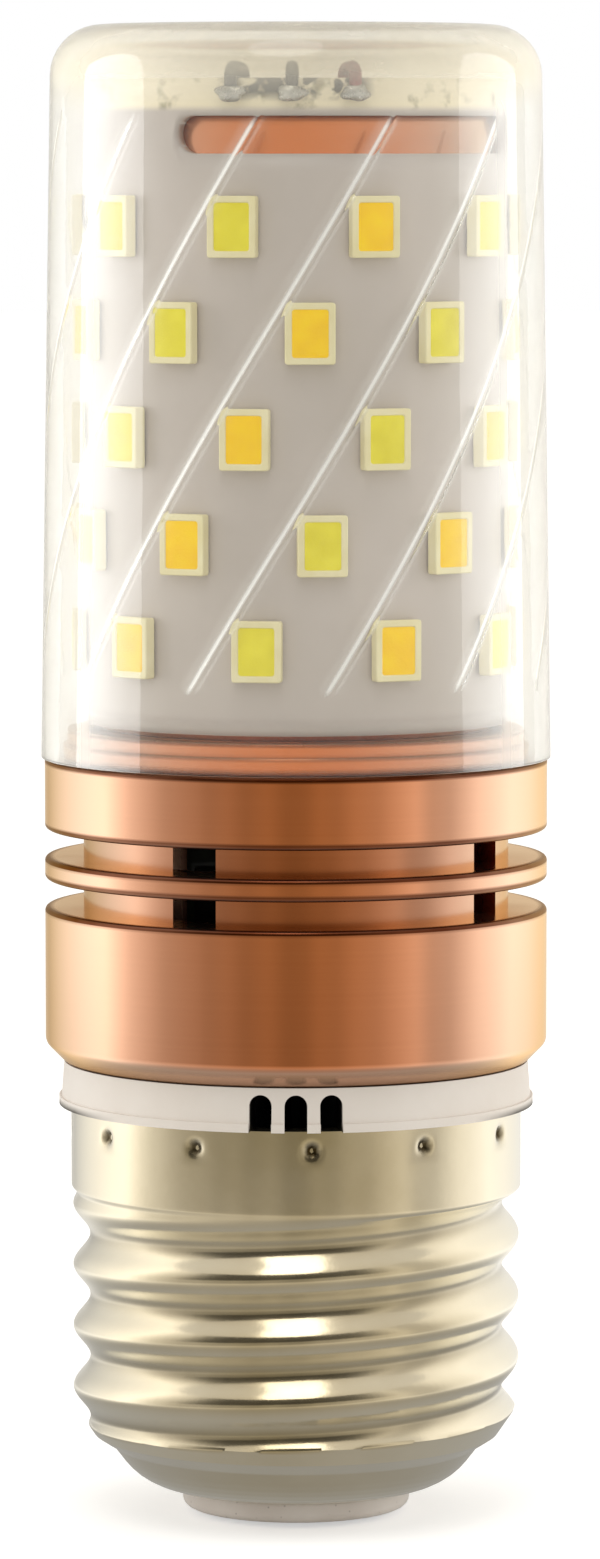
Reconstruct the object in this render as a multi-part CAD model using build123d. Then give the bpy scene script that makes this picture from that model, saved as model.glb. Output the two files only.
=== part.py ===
from build123d import *
import math
import os

# Screw cap with the standard 27 mm lamp thread, right handed
thread_crest_diameter = 26.3
thread_depth = 1.0
thread_pitch = 3.629
thread_height = 14.4
thread_crest_width = 0.9
thread_root_width = 0.9
thread_fade = 1.9
thread_sink = 0.3
thread_lead_in = 4.1
thread_start_angle = -93.0
band_step = 0.1
band_height = 5.2
band_bevel = 0.4
shell_wall = 0.35
bowl_height = 3.1
bowl_step = 1.1
bowl_step_height = 0.7
bowl_draw_in = 1.85
bowl_round = 4.0
bowl_hole_diameter = 11.6

# Insulator and centre contact
contact_diameter = 9.6
contact_thickness = 0.55
contact_proud = 0.3
contact_recess_clearance = 0.1
rivet_diameter = 1.8
rivet_head_diameter = 3.4
rivet_head_height = 0.5
insulator_height = 1.3
insulator_lip = 0.9
insulator_bevel = 0.6
insulator_flange = 0.7
insulator_flange_height = 0.8

# White collar between the cap and the metal body
collar_height = 2.55
collar_step = 0.55
collar_wall = 1.2
lip_proud = 0.15
lip_height = 0.5
stub_length = 4.2
plug_length = 4.5
vent_width = 1.3
vent_height = 2.15
vent_pitch = 2.05
vent_count = 3
vent_sides = 2

# Turned metal body
body_diameter = 29.5
body_chamfer = 1.15
edge_break = 0.2
lower_ring_height = 9.1
groove_height = 1.65
fin_height = 1.3
upper_ring_height = 4.2
groove_wall = 1.4
spigot_height = 1.8
spigot_step = 0.25
spigot_step_height = 0.8
seat_depth = 3.0
seat_ledge = 0.4
window_width = 2.8
window_count = 4
window_angle = -28.0

# Clear cover
cover_wall = 1.0
cover_overhang = 0.2
cover_draw_in = 0.65
cover_corner = 3.0
flute_count = 11
flute_width = 0.5
flute_depth = 0.3
flute_twist = 2.5
flute_angle = -57.8
flute_foot = 2.7
flute_head = 4.3

# LED board, its sleeve and the LEDs on it
board_thickness = 0.8
board_height = 37.35
board_gap = 0.35
seam_gap = 0.5
slot_height = 2.15
slot_drop = 3.2
slot_start = -28.0
slot_sweep = 104.0
slot_count = 2
sleeve_wall = 0.75
sleeve_setback = 0.3
led_width = 2.8
led_length = 3.5
led_height = 0.65
led_rim = 0.38
led_pocket = 0.2
led_rows = 5
leds_per_row = 10
led_top_margin = 8.4
led_bottom_margin = 4.85
led_first_angle = 2.0
led_row_skew = 1.55

# Driver board, held by its edges in the collar, and what stands on it
driver_thickness = 1.2
driver_height = 40.0
driver_lift = 4.0
capacitor_diameter = 6.3
capacitor_length = 11.0
capacitor_height_on_board = 12.5
capacitor_spread = 6.8
film_width = 10.0
film_depth = 5.0
film_length = 9.0
film_height_on_board = 3.0
bridge_width = 4.7
bridge_depth = 1.5
bridge_length = 3.8
bridge_height_on_board = 7.5
chip_width = 3.9
chip_depth = 1.5
chip_length = 4.9
chip_height_on_board = 27.0
chip_spread = 8.0
choke_width = 7.3
choke_depth = 4.5
choke_corner = 1.2
choke_heights_on_board = (26.5, 34.5)
fuse_diameter = 2.4
fuse_length = 6.5
fuse_height_on_board = 4.0
resistor_width = 2.0
resistor_depth = 0.5
resistor_length = 1.25
resistor_pitch = 3.0
resistor_count = 5
resistor_height_on_board = 19.0

# Wires
wire_diameter = 0.7
wire_sides = 8
warm_wire_angle = -16.5
cool_wire_angle = -1.0
common_wire_angle = 15.0
wire_tail = 0.6
wire_arch = 0.6
wire_bend = 3.0
wire_rise = 6.5
wire_run_on_board = 3.0
solder_width = 1.5
solder_height = 0.55
solder_depth = 0.75
common_wire_foot = 7.5
common_wire_lead = 1.0
live_wire_side = 3.0
live_wire_rise = 1.6
live_wire_run = 2.2
live_wire_drop = 0.6
neutral_wire_side = 6.0
neutral_wire_start = 0.5
neutral_wire_turn = 5.0

# Fits
slip = 0.05
plug_clearance = 0.2
stub_clearance = 0.2
spigot_clearance = 0.3
led_clearance = 0.2
solder_gap = 0.05
wire_clearance = 0.05
driver_clearance = 0.2
head_clearance = 1.25
overcut = 1.0

# Heights along the axis, from the contact's face up
z_insulator = contact_proud
z_shell = z_insulator + insulator_height
z_thread = z_shell + bowl_height
z_band = z_thread + thread_height
z_collar = z_band + band_height
z_body = z_collar + collar_height
z_low_groove = z_body + lower_ring_height
z_fin = z_low_groove + groove_height
z_high_groove = z_fin + fin_height
z_upper_ring = z_high_groove + groove_height
z_shoulder = z_upper_ring + upper_ring_height
z_spigot = z_shoulder + spigot_height
z_seat = z_spigot - seat_depth
z_board = z_spigot + board_gap
z_board_top = z_board + board_height
z_driver = z_thread + driver_lift

# Radii, from the clear cover inwards
body_radius = body_diameter / 2
cover_foot_radius = body_radius + cover_overhang
cover_top_radius = cover_foot_radius - cover_draw_in
led_corner_radius = cover_top_radius - cover_wall - led_clearance
led_face_radius = math.sqrt(led_corner_radius**2 - (led_width / 2) ** 2)
led_seat_radius = led_face_radius - led_height
board_radius = led_seat_radius - solder_gap
board_bore = board_radius - board_thickness
sleeve_radius = board_bore - slip
sleeve_bore = sleeve_radius - sleeve_wall
seat_radius = sleeve_radius + slip
body_bore = sleeve_radius - seat_ledge
groove_radius = body_bore + groove_wall
spigot_radius = cover_foot_radius - cover_wall - spigot_clearance
plug_radius = body_bore - plug_clearance
plug_bore = plug_radius - collar_wall
driver_reach = plug_bore - driver_clearance
driver_width = 2 * math.sqrt(driver_reach**2 - (driver_thickness / 2) ** 2)

# Places of the LEDs, and of the board's seam behind, a quarter step from the nearest columns
led_row_pitch = (board_height - led_top_margin - led_bottom_margin) / (led_rows - 1)
led_step = 360 / leds_per_row
led_middle_angle = led_first_angle + led_row_skew * (led_rows - 1) / 2
seam_angle = led_middle_angle + led_step * (leds_per_row / 2 - 0.25)
seam_lean = math.degrees(math.atan(math.radians(led_row_skew) * board_radius / led_row_pitch))

# Radii of the cap
crest_radius = thread_crest_diameter / 2
root_radius = crest_radius - thread_depth
shell_bore = root_radius - shell_wall
band_radius = crest_radius + band_step
band_bore = band_radius - shell_wall
stub_radius = band_bore - stub_clearance
stub_bore = stub_radius - collar_wall
collar_radius = band_radius + collar_step
lip_radius = collar_radius + lip_proud
hole_radius = bowl_hole_diameter / 2

# Wire arches over the board's top rim
wire_radius = wire_diameter / 2
wire_inner_radius = sleeve_bore - wire_radius - wire_clearance
wire_outer_radius = board_radius + wire_radius + wire_clearance
z_arch = z_board_top + wire_arch
z_ceiling = z_arch + wire_radius + head_clearance
z_top = z_ceiling + cover_wall

# Faces and ends that the driver's pieces and wires lie on
driver_face = driver_thickness / 2
z_driver_top = z_driver + driver_height
wire_stand_off = driver_face + wire_clearance + wire_radius
z_flange = z_shell + shell_wall + slip
z_rivet = z_flange + insulator_flange_height


def outline(points, rounds=()):
    """Closed face of (radius, height) points, with chosen corners rounded."""
    face = make_face(Polyline(*points, close=True))
    for corner, radius in rounds:
        vertex = face.vertices().sort_by_distance(Vector(*corner))[0]
        face = fillet(vertex, radius)
    return face


def turned(points, rounds=(), arc=360.0):
    """Solid of revolution about the bulb's axis."""
    return revolve(Plane.XZ * outline(points, rounds), Axis.Z, arc)


def tube(outer, inner, bottom, top):
    """Plain tube about the axis."""
    return turned([(inner, bottom), (outer, bottom), (outer, top), (inner, top)])


def around(shape, angle):
    """Turn a shape made at the front to an angle, counted from the front towards +X."""
    return shape.rotate(Axis.Z, angle)


def front_block(width, depth, length, inner, middle):
    """Block at the front whose inner face lies at a distance from the axis."""
    return Pos(0, -(inner + depth / 2), middle) * Box(width, depth, length)


def save(name, *solids):
    """Write one node as its own file."""
    shape = solids[0] if len(solids) == 1 else Compound(children=list(solids))
    export_step(shape, os.path.join("parts", name + ".step"))


# Cover: tapered cup with a rounded crown
def cover_outer_radius(height):
    """Radius of the cover's tapered outer wall at a height."""
    share = (height - z_shoulder) / (z_top - z_shoulder)
    return cover_foot_radius - cover_draw_in * share


def cup(inset, bottom, top):
    """Solid bounded by the cover's outer wall set in by a distance."""
    crown = max(cover_corner - inset, edge_break)
    corner = (cover_outer_radius(top) - inset, top)
    points = [(0, bottom), (cover_outer_radius(bottom) - inset, bottom), corner, (0, top)]
    return turned(points, [(corner, crown)])


def flute():
    """One twisted groove in the cover's inner wall."""
    bottom = z_spigot + flute_foot
    rise = z_ceiling - flute_head - bottom
    inner = led_corner_radius - flute_width
    depth = cover_foot_radius - inner
    section = Pos(0, -(inner + depth / 2), bottom) * Rectangle(flute_width, depth)
    start = Rot(0, 0, flute_angle) * section
    groove = Solid.extrude_linear_with_rotation(
        start.face(), (0, 0, bottom), (0, 0, rise), flute_twist * rise
    )
    return groove & cup(cover_wall - flute_depth, z_shoulder, z_ceiling)


def clear_cover():
    """Clear cup that stands on the body's shoulder, round the spigot."""
    shell = cup(0, z_shoulder, z_top) - cup(cover_wall, z_shoulder - overcut, z_ceiling)
    first = flute()
    step = 360 / flute_count
    return shell - [around(first, step * index) for index in range(flute_count)]


# Metal body: rings, grooves, fin, windows and the spigot for the cover
def ring(bottom, top, lower_break=edge_break):
    """Outer edge points of one ring, its two edges broken."""
    return [
        (body_radius - lower_break, bottom),
        (body_radius, bottom + lower_break),
        (body_radius, top - edge_break),
        (body_radius - edge_break, top),
    ]


def heat_sink():
    """Turned body that carries the cover, the sleeve and the collar."""
    neck = spigot_radius - spigot_step
    points = [
        (body_bore, z_body),
        *ring(z_body, z_low_groove, body_chamfer),
        (groove_radius, z_low_groove),
        (groove_radius, z_fin),
        *ring(z_fin, z_high_groove),
        (groove_radius, z_high_groove),
        (groove_radius, z_upper_ring),
        *ring(z_upper_ring, z_shoulder),
        (spigot_radius, z_shoulder),
        (spigot_radius, z_spigot - spigot_step_height),
        (neck, z_spigot - spigot_step_height),
        (neck, z_spigot),
        (seat_radius, z_spigot),
        (seat_radius, z_seat),
        (body_bore, z_seat),
    ]
    windows = []
    for bottom in (z_low_groove, z_high_groove):
        middle = bottom + groove_height / 2
        depth = groove_wall + 2 * overcut
        block = front_block(window_width, depth, groove_height, body_bore - overcut, middle)
        for index in range(window_count):
            windows.append(around(block, window_angle + 360 / window_count * index))
    return turned(points) - windows


# LED board, sleeve and LEDs
def led_board():
    """Board rolled into a tube, with a seam behind and slots near its top."""
    board = tube(board_radius, board_bore, z_board, z_board_top)
    middle = z_board_top - slot_drop
    half = slot_height / 2
    inner = board_bore - overcut
    outer = board_radius + overcut
    corners = [(inner, middle - half), (outer, middle - half)]
    corners += [(outer, middle + half), (inner, middle + half)]
    sector = turned(corners, arc=slot_sweep).rotate(Axis.Z, slot_start - 90)
    depth = outer - inner
    end = Pos(0, -(inner + depth / 2), middle) * Rot(90, 0, 0) * Cylinder(half, depth)
    cuts = []
    for index in range(slot_count):
        turn = 360 / slot_count * index
        cuts.append(around(sector, turn))
        cuts.append(around(end, slot_start + turn))
        cuts.append(around(end, slot_start + slot_sweep + turn))
    seam = Rot(0, -seam_lean, 0) * Box(seam_gap, depth, 2 * board_height)
    seam = Pos(0, -(inner + depth / 2), (z_board + z_board_top) / 2) * seam
    cuts.append(around(seam, seam_angle))
    return board - cuts


def led_places():
    """Angle, height and colour of every LED: the rows are staggered, warm and cool by turns."""
    for row in range(led_rows):
        height = z_board_top - led_top_margin - led_row_pitch * row
        for column in range(leds_per_row):
            half_steps = 2 * column + (row + 1) % 2
            angle = led_first_angle + led_row_skew * row + led_step / 2 * half_steps
            yield angle, height, (half_steps + row - 1) % 4 == 0


def led_package():
    """Moulded package with a pocket for the phosphor, at the front and at height zero."""
    block = front_block(led_width, led_height, led_length, led_seat_radius, 0)
    pocket_floor = led_face_radius - led_pocket
    width = led_width - 2 * led_rim
    length = led_length - 2 * led_rim
    return block - front_block(width, led_pocket + overcut, length, pocket_floor, 0)


def led_phosphor():
    """Phosphor fill of one package, level with its rim."""
    width = led_width - 2 * led_rim
    length = led_length - 2 * led_rim
    return front_block(width, led_pocket, length, led_face_radius - led_pocket, 0)


def leds(shape, warm):
    """Copies of one LED piece at every place of one colour."""
    return [
        around(Pos(0, 0, height) * shape, angle)
        for angle, height, is_warm in led_places()
        if is_warm == warm
    ]


# White collar
def base_collar():
    """Collar with a plug in the body, a stub in the cap and arched vents front and back."""
    points = [
        (stub_bore, z_collar - stub_length),
        (stub_radius, z_collar - stub_length),
        (stub_radius, z_collar),
        (lip_radius, z_collar),
        (lip_radius, z_collar + lip_height),
        (collar_radius, z_collar + lip_height),
        (collar_radius - lip_proud, z_body),
        (plug_radius, z_body),
        (plug_radius, z_body + plug_length),
        (plug_bore, z_body + plug_length),
        (plug_bore, z_body),
        (stub_bore, z_body - collar_wall),
    ]
    inner = stub_bore - overcut
    depth = lip_radius + overcut - inner
    straight = vent_height - vent_width / 2
    slot = front_block(vent_width, depth, straight, inner, z_collar + straight / 2)
    crown = Pos(0, -(inner + depth / 2), z_collar + straight) * Rot(90, 0, 0)
    vent = slot + crown * Cylinder(vent_width / 2, depth)
    step = math.degrees(vent_pitch / collar_radius)
    vents = []
    for side in range(vent_sides):
        for index in range(vent_count):
            offset = step * (index - (vent_count - 1) / 2)
            vents.append(around(vent, 360 / vent_sides * side + offset))
    return turned(points) - vents


# Screw cap
def thread_ridge():
    """Thread's ridge, right handed: a flat-topped section, sunk into the core, carried along a helix."""
    z_start = z_thread - thread_lead_in
    length = thread_height + 2 * thread_lead_in
    half_crest = thread_crest_width / 2
    half_root = (thread_pitch - thread_root_width) / 2
    flank_slope = (half_root - half_crest) / thread_depth
    half_foot = half_root + flank_slope * thread_sink
    sunk_radius = root_radius - thread_sink
    section = outline(
        [
            (sunk_radius, z_start - half_foot),
            (crest_radius, z_start - half_crest),
            (crest_radius, z_start + half_crest),
            (sunk_radius, z_start + half_foot),
        ]
    )
    helix = Pos(0, 0, z_start) * Helix(thread_pitch, length, root_radius)
    ridge = sweep(Plane.XZ * section, path=helix, is_frenet=True)
    return Rot(0, 0, thread_start_angle - 360 * thread_lead_in / thread_pitch) * ridge


def screw_shell():
    """Drawn and rolled cap: bowl, thread that fades out into it, and plain band."""
    foot = root_radius - edge_break
    shoulder = foot - bowl_step
    floor = shoulder - bowl_draw_in
    z_step = z_thread - bowl_step_height
    corner = (floor, z_shell)
    bowl = turned(
        [(0, z_shell), corner, (shoulder, z_step), (foot, z_thread), (0, z_thread)],
        [(corner, bowl_round)],
    )
    envelope = turned(
        [
            (0, z_thread),
            (foot, z_thread),
            (band_radius, z_thread + thread_fade),
            (band_radius, z_band),
            (0, z_band),
        ]
    )
    z_root = z_thread + thread_fade * (root_radius - foot) / (band_radius - foot)
    core = turned(
        [
            (0, z_thread),
            (foot, z_thread),
            (root_radius, z_root),
            (root_radius, z_band),
            (0, z_band),
        ]
    )
    groove = envelope - thread_ridge() - core
    thread = envelope - groove
    band = turned(
        [
            (0, z_band),
            (band_radius - band_step / 2, z_band),
            (band_radius, z_band + band_bevel),
            (band_radius, z_collar),
            (0, z_collar),
        ]
    )
    inner_corner = (floor - shell_wall, z_shell + shell_wall)
    hollow = turned(
        [
            (0, z_shell - overcut),
            (hole_radius, z_shell - overcut),
            (hole_radius, z_shell + shell_wall),
            inner_corner,
            (shoulder - shell_wall, z_step + shell_wall),
            (shell_bore, z_thread + shell_wall),
            (shell_bore, z_band + shell_wall),
            (band_bore, z_band + shell_wall + band_bevel),
            (band_bore, z_collar + overcut),
            (0, z_collar + overcut),
        ],
        [(inner_corner, bowl_round - shell_wall)],
    )
    return bowl + thread + band - hollow


def contact_insulator():
    """Disc under the cap, with a neck through its hole and a flange inside."""
    neck = hole_radius - slip
    points = [
        (rivet_diameter / 2 + slip, z_insulator),
        (hole_radius + insulator_lip - insulator_bevel, z_insulator),
        (hole_radius + insulator_lip, z_insulator + insulator_bevel),
        (hole_radius + insulator_lip, z_shell - slip),
        (neck, z_shell - slip),
        (neck, z_flange),
        (hole_radius + insulator_flange, z_flange),
        (hole_radius + insulator_flange, z_rivet),
        (rivet_diameter / 2 + slip, z_rivet),
    ]
    recess = contact_diameter / 2 + contact_recess_clearance
    return turned(points) - tube(recess, 0, z_insulator - overcut, contact_thickness)


def centre_contact():
    """Rivet whose wide head is the contact."""
    points = [
        (0, 0),
        (contact_diameter / 2 - edge_break, 0),
        (contact_diameter / 2, edge_break),
        (contact_diameter / 2, contact_thickness),
        (rivet_diameter / 2, contact_thickness),
        (rivet_diameter / 2, z_rivet),
        (rivet_head_diameter / 2, z_rivet),
        (rivet_head_diameter / 2, z_rivet + rivet_head_height),
        (0, z_rivet + rivet_head_height),
    ]
    return turned(points)


# Driver
def on_driver(shape, side, across, up):
    """Stand a piece made on the plane Y = 0, facing -Y, on the driver's front or back."""
    placed = Pos(across, -driver_face, z_driver + up) * shape
    return placed if side == "front" else placed.rotate(Axis.Z, 180)


def chip(width, depth, length):
    """Block that lies on the driver board."""
    return Pos(0, -depth / 2, 0) * Box(width, depth, length)


def driver_board():
    """Upright board, as wide as the collar's bore lets it be."""
    board = Box(driver_width, driver_thickness, driver_height)
    return Pos(0, 0, z_driver + driver_height / 2) * board


def bulk_capacitor():
    """Electrolytic can lying along the board, its top edge broken."""
    radius = capacitor_diameter / 2
    points = [
        (0, 0),
        (radius, 0),
        (radius, capacitor_length - edge_break),
        (radius - edge_break, capacitor_length),
        (0, capacitor_length),
    ]
    return Pos(0, -(radius + slip), 0) * turned(points)


def choke():
    """Shielded square choke with cut corners."""
    block = chip(choke_width, choke_depth, choke_width)
    return chamfer(block.edges().filter_by(Axis.Y), choke_corner)


def fuse_resistor():
    """Axial resistor with a lead at each end."""
    body = Rot(0, 90, 0) * Cylinder(fuse_diameter / 2, fuse_length)
    leads = Rot(0, 90, 0) * Cylinder(fuse_diameter / 8, fuse_length + fuse_diameter)
    return Pos(0, -(fuse_diameter / 2 + slip), 0) * (body + leads)


# Wires: straight runs joined by tangent arcs
def wire(points, radii):
    """Round wire along a route."""
    path = FilletPolyline(*points, radius=radii)
    section = Plane(path @ 0, z_dir=path % 0) * RegularPolygon(wire_radius, wire_sides)
    return sweep(section, path)


def rim_points(angle):
    """Inner foot, two arch corners and outer end of a wire at the board's top rim."""
    side = math.sin(math.radians(angle))
    front = -math.cos(math.radians(angle))
    inner = (wire_inner_radius * side, wire_inner_radius * front)
    outer = (wire_outer_radius * side, wire_outer_radius * front)
    return inner, [(*inner, z_arch), (*outer, z_arch), (*outer, z_board_top - wire_tail)]


def led_wire(angle):
    """Lead from the driver's top, up inside the sleeve and over the rim."""
    inner, rim = rim_points(angle)
    foot = (inner[0], -wire_stand_off, z_driver_top - wire_run_on_board)
    bend = (*inner, z_driver_top + wire_rise)
    return wire([foot, bend, *rim], [wire_bend, wire_arch, wire_arch])


def common_wire():
    """Red lead that passes behind the body's windows on its way up."""
    inner, rim = rim_points(common_wire_angle)
    behind, _ = rim_points(window_angle + 360 / window_count)
    points = [
        (common_wire_foot, -wire_stand_off, z_body + plug_length + common_wire_lead),
        (*behind, z_low_groove - common_wire_lead),
        (*behind, z_board),
        (*inner, z_board + board_height / 2),
        *rim,
    ]
    return wire(points, [wire_bend / 2, wire_bend, wire_bend, wire_arch, wire_arch])


def live_wire():
    """Lead from the contact's rivet to the driver's front."""
    start = z_rivet + rivet_head_height + wire_clearance
    points = [
        (0, 0, start),
        (0, 0, start + live_wire_rise),
        (live_wire_side, -wire_stand_off, z_driver - live_wire_drop),
        (live_wire_side, -wire_stand_off, z_driver + live_wire_run),
    ]
    return wire(points, [wire_diameter, wire_diameter])


def neutral_wire():
    """Lead from the cap's inner wall to the driver's front."""
    wall = math.sqrt((shell_bore - wire_radius - wire_clearance) ** 2 - wire_stand_off**2)
    z_turn = z_driver + neutral_wire_turn
    points = [
        (-wall, -wire_stand_off, z_driver + neutral_wire_start),
        (-wall, -wire_stand_off, z_turn),
        (-neutral_wire_side, -wire_stand_off, z_turn),
    ]
    return wire(points, [2 * wire_diameter])


def solder_joint(angle):
    """Joint under a wire's end on the board's face."""
    top = z_board_top - wire_tail - wire_clearance
    middle = top - solder_height / 2
    block = front_block(solder_width, solder_depth, solder_height, board_radius + solder_gap, middle)
    return around(block, angle)


os.makedirs("parts", exist_ok=True)
save("clear_cover", clear_cover())
save("heat_sink", heat_sink())
save("led_board", led_board())
save("carrier_sleeve", tube(sleeve_radius, sleeve_bore, z_seat, z_board_top - sleeve_setback))
save("warm_led_packages", *leds(led_package(), True))
save("cool_led_packages", *leds(led_package(), False))
save("warm_led_phosphors", *leds(led_phosphor(), True))
save("cool_led_phosphors", *leds(led_phosphor(), False))
save("base_collar", base_collar())
save("screw_shell", screw_shell())
save("contact_insulator", contact_insulator())
save("centre_contact", centre_contact())
save("driver_board", driver_board())
capacitors = [
    on_driver(bulk_capacitor(), "front", side * capacitor_spread / 2, capacitor_height_on_board)
    for side in (-1, 1)
]
save("bulk_capacitors", *capacitors)
film = chip(film_width, film_depth, film_length)
save("film_capacitor", on_driver(film, "back", 0, film_height_on_board + film_length / 2))
bridge = chip(bridge_width, bridge_depth, bridge_length)
save("bridge_rectifier", on_driver(bridge, "front", 0, bridge_height_on_board))
driver_chip = chip(chip_width, chip_depth, chip_length)
driver_chips = [
    on_driver(driver_chip, "front", side * chip_spread / 2, chip_height_on_board)
    for side in (-1, 1)
]
save("driver_chips", *driver_chips)
save("chokes", *[on_driver(choke(), "back", 0, up) for up in choke_heights_on_board])
save("fuse_resistor", on_driver(fuse_resistor(), "front", 0, fuse_height_on_board))
resistors = [
    on_driver(
        chip(resistor_width, resistor_depth, resistor_length),
        "back",
        resistor_pitch * (index - (resistor_count - 1) / 2),
        resistor_height_on_board,
    )
    for index in range(resistor_count)
]
save("chip_resistors", *resistors)
save("warm_wire", led_wire(warm_wire_angle))
save("cool_wire", led_wire(cool_wire_angle))
save("common_wire", common_wire())
save("live_wire", live_wire())
save("neutral_wire", neutral_wire())
wire_angles = (warm_wire_angle, cool_wire_angle, common_wire_angle)
save("solder_joints", *[solder_joint(angle) for angle in wire_angles])
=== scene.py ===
import logging
import math
from dataclasses import dataclass
from enum import Enum
from typing import Optional, Sequence, Union

import bmesh
import bpy
import numpy as np
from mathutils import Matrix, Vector


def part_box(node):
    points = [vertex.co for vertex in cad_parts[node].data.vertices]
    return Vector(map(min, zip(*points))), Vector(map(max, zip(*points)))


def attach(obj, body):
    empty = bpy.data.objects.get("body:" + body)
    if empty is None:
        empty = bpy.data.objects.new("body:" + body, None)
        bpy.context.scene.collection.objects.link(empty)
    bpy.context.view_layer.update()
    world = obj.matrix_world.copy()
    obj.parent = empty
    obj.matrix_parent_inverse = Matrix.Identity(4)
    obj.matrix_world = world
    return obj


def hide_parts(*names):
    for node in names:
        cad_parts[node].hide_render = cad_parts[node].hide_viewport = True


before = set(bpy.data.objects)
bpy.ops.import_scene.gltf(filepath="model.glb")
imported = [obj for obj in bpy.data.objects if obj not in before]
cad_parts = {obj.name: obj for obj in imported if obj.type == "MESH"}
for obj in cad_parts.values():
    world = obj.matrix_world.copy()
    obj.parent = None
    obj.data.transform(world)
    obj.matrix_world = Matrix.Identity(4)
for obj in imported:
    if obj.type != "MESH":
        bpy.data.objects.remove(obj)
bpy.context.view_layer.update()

ROOT = "root"
HOLLOW = "hollow"
MM = 0.001
TURN = 2 * math.pi
MERGE_DISTANCE = 2e-8
BOX_MARGIN = 0.001
WHITE = (1.0, 1.0, 1.0, 1.0)

# The curve of written colours: straight up to a knee, then a power
CURVE_KNEE = 0.04045
CURVE_SLOPE = 12.92
CURVE_OFFSET = 0.055
CURVE_POWER = 2.4

log = logging.getLogger("led_lamp")

Socket = bpy.types.NodeSocket
SocketValue = Union[float, Sequence[float], Socket]
Numbers = Union[float, np.ndarray]


# Plain helpers
def linear(hex_colour: str) -> tuple[float, float, float, float]:
    """Turn a written colour into the linear values that a shader takes.

    Args:
        hex_colour: Colour as six hexadecimal digits.

    Returns:
        Red, green, blue and alpha, each from 0 to 1.
    """
    parts = np.array([int(hex_colour[i:i + 2], 16) for i in (0, 2, 4)]) / 255
    curved = ((parts + CURVE_OFFSET) / (1 + CURVE_OFFSET)) ** CURVE_POWER
    return (*map(float, np.where(parts <= CURVE_KNEE, parts / CURVE_SLOPE, curved)), 1.0)


def smooth_step(low: float, high: float, value: np.ndarray) -> np.ndarray:
    """Ease from 0 at low to 1 at high: 3t squared less 2t cubed, with t the share of the way."""
    share = np.clip((value - low) / (high - low), 0, 1)
    return share * share * (3 - 2 * share)


def unit(vectors: np.ndarray) -> np.ndarray:
    """Divide each vector by its length."""
    return vectors / np.linalg.norm(vectors, axis=-1, keepdims=True)


def metres(*sizes: float) -> list[float]:
    """Turn millimetres into metres."""
    return [size * MM for size in sizes]


def put_in_scene(name: str, data: bpy.types.ID) -> bpy.types.Object:
    """Make an object of a mesh, a light or a camera.

    Args:
        name: The object's name.
        data: What it holds.

    Returns:
        The object, linked to the scene.
    """
    thing = bpy.data.objects.new(name, data)
    bpy.context.scene.collection.objects.link(thing)
    return thing


@dataclass(frozen=True)
class Extent:
    """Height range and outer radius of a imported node, in millimetres.

    Attributes:
        bottom: Lowest height.
        top: Highest height.
        radius: Reach from the axis that all four sides have, less a margin.
    """

    bottom: float
    top: float
    radius: float

    @classmethod
    def of(cls, node: str) -> "Extent":
        """Read a node's box from the frame."""
        low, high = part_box(node)
        return cls(low.z / MM, high.z / MM, min(-low.x, high.x, -low.y, high.y) / MM - BOX_MARGIN)


# Paths and surfaces
def rounded(corners: Sequence[Sequence[float]], radii: Sequence[float], steps: int = 5) -> np.ndarray:
    """Round the corners of a path with arcs.

    At a corner with half angle h between its two sides, the arc of radius r starts and ends r / tan(h)
    from the corner, about a centre r / sin(h) away on the bisector.

    Args:
        corners: Points of the path, in two or three dimensions.
        radii: Arc radius at each corner, 0 where the corner stays sharp.
        steps: Spans on each arc.

    Returns:
        Points of the rounded path.
    """
    points = np.asarray(corners, float)
    pieces = []
    for index, radius in enumerate(radii):
        here = points[index]
        if radius <= 0:
            pieces.append(here[None])
            continue
        back = unit(points[index - 1] - here)
        ahead = unit(points[(index + 1) % len(points)] - here)
        half = math.acos(float(np.clip(back @ ahead, -1, 1))) / 2
        centre = here + unit(back + ahead) * radius / math.sin(half)
        first = unit(here + back * radius / math.tan(half) - centre)
        last = unit(here + ahead * radius / math.tan(half) - centre)
        across = unit(last - first * (first @ last))
        sweep = np.linspace(0, math.pi - 2 * half, steps + 1)[:, None]
        pieces.append(centre + radius * (np.cos(sweep) * first + np.sin(sweep) * across))
    return np.concatenate(pieces)


def section(rows: Sequence[Sequence[float]], steps: int = 5) -> np.ndarray:
    """Round a path whose rows give radius, height and corner radius."""
    return rounded([row[:2] for row in rows], [row[2] for row in rows], steps)


def refined(path: np.ndarray, spacing: float) -> np.ndarray:
    """Add points along a path so that no span is longer than a spacing.

    Args:
        path: Points of the path.
        spacing: Longest span.

    Returns:
        The old points and the new ones between them, in order.
    """
    lengths = np.linalg.norm(np.diff(path, axis=0), axis=1)
    stations = np.concatenate([[0.0], np.cumsum(lengths)])
    counts = np.maximum(np.ceil(lengths / spacing).astype(int), 1)
    starts = np.repeat(stations[:-1], counts)
    shares = np.concatenate([np.arange(n) / n for n in counts])
    wanted = np.append(starts + shares * np.repeat(lengths, counts), stations[-1])
    return np.stack([np.interp(wanted, stations, path[:, k]) for k in range(path.shape[1])], axis=1)


def on_axis(radius: np.ndarray, angle: np.ndarray, height: np.ndarray) -> np.ndarray:
    """Place points by radius, angle from the front towards +X, and height."""
    radius, angle, height = np.broadcast_arrays(radius, angle, height)
    return np.stack([radius * np.sin(angle), -radius * np.cos(angle), height], axis=-1)


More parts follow.
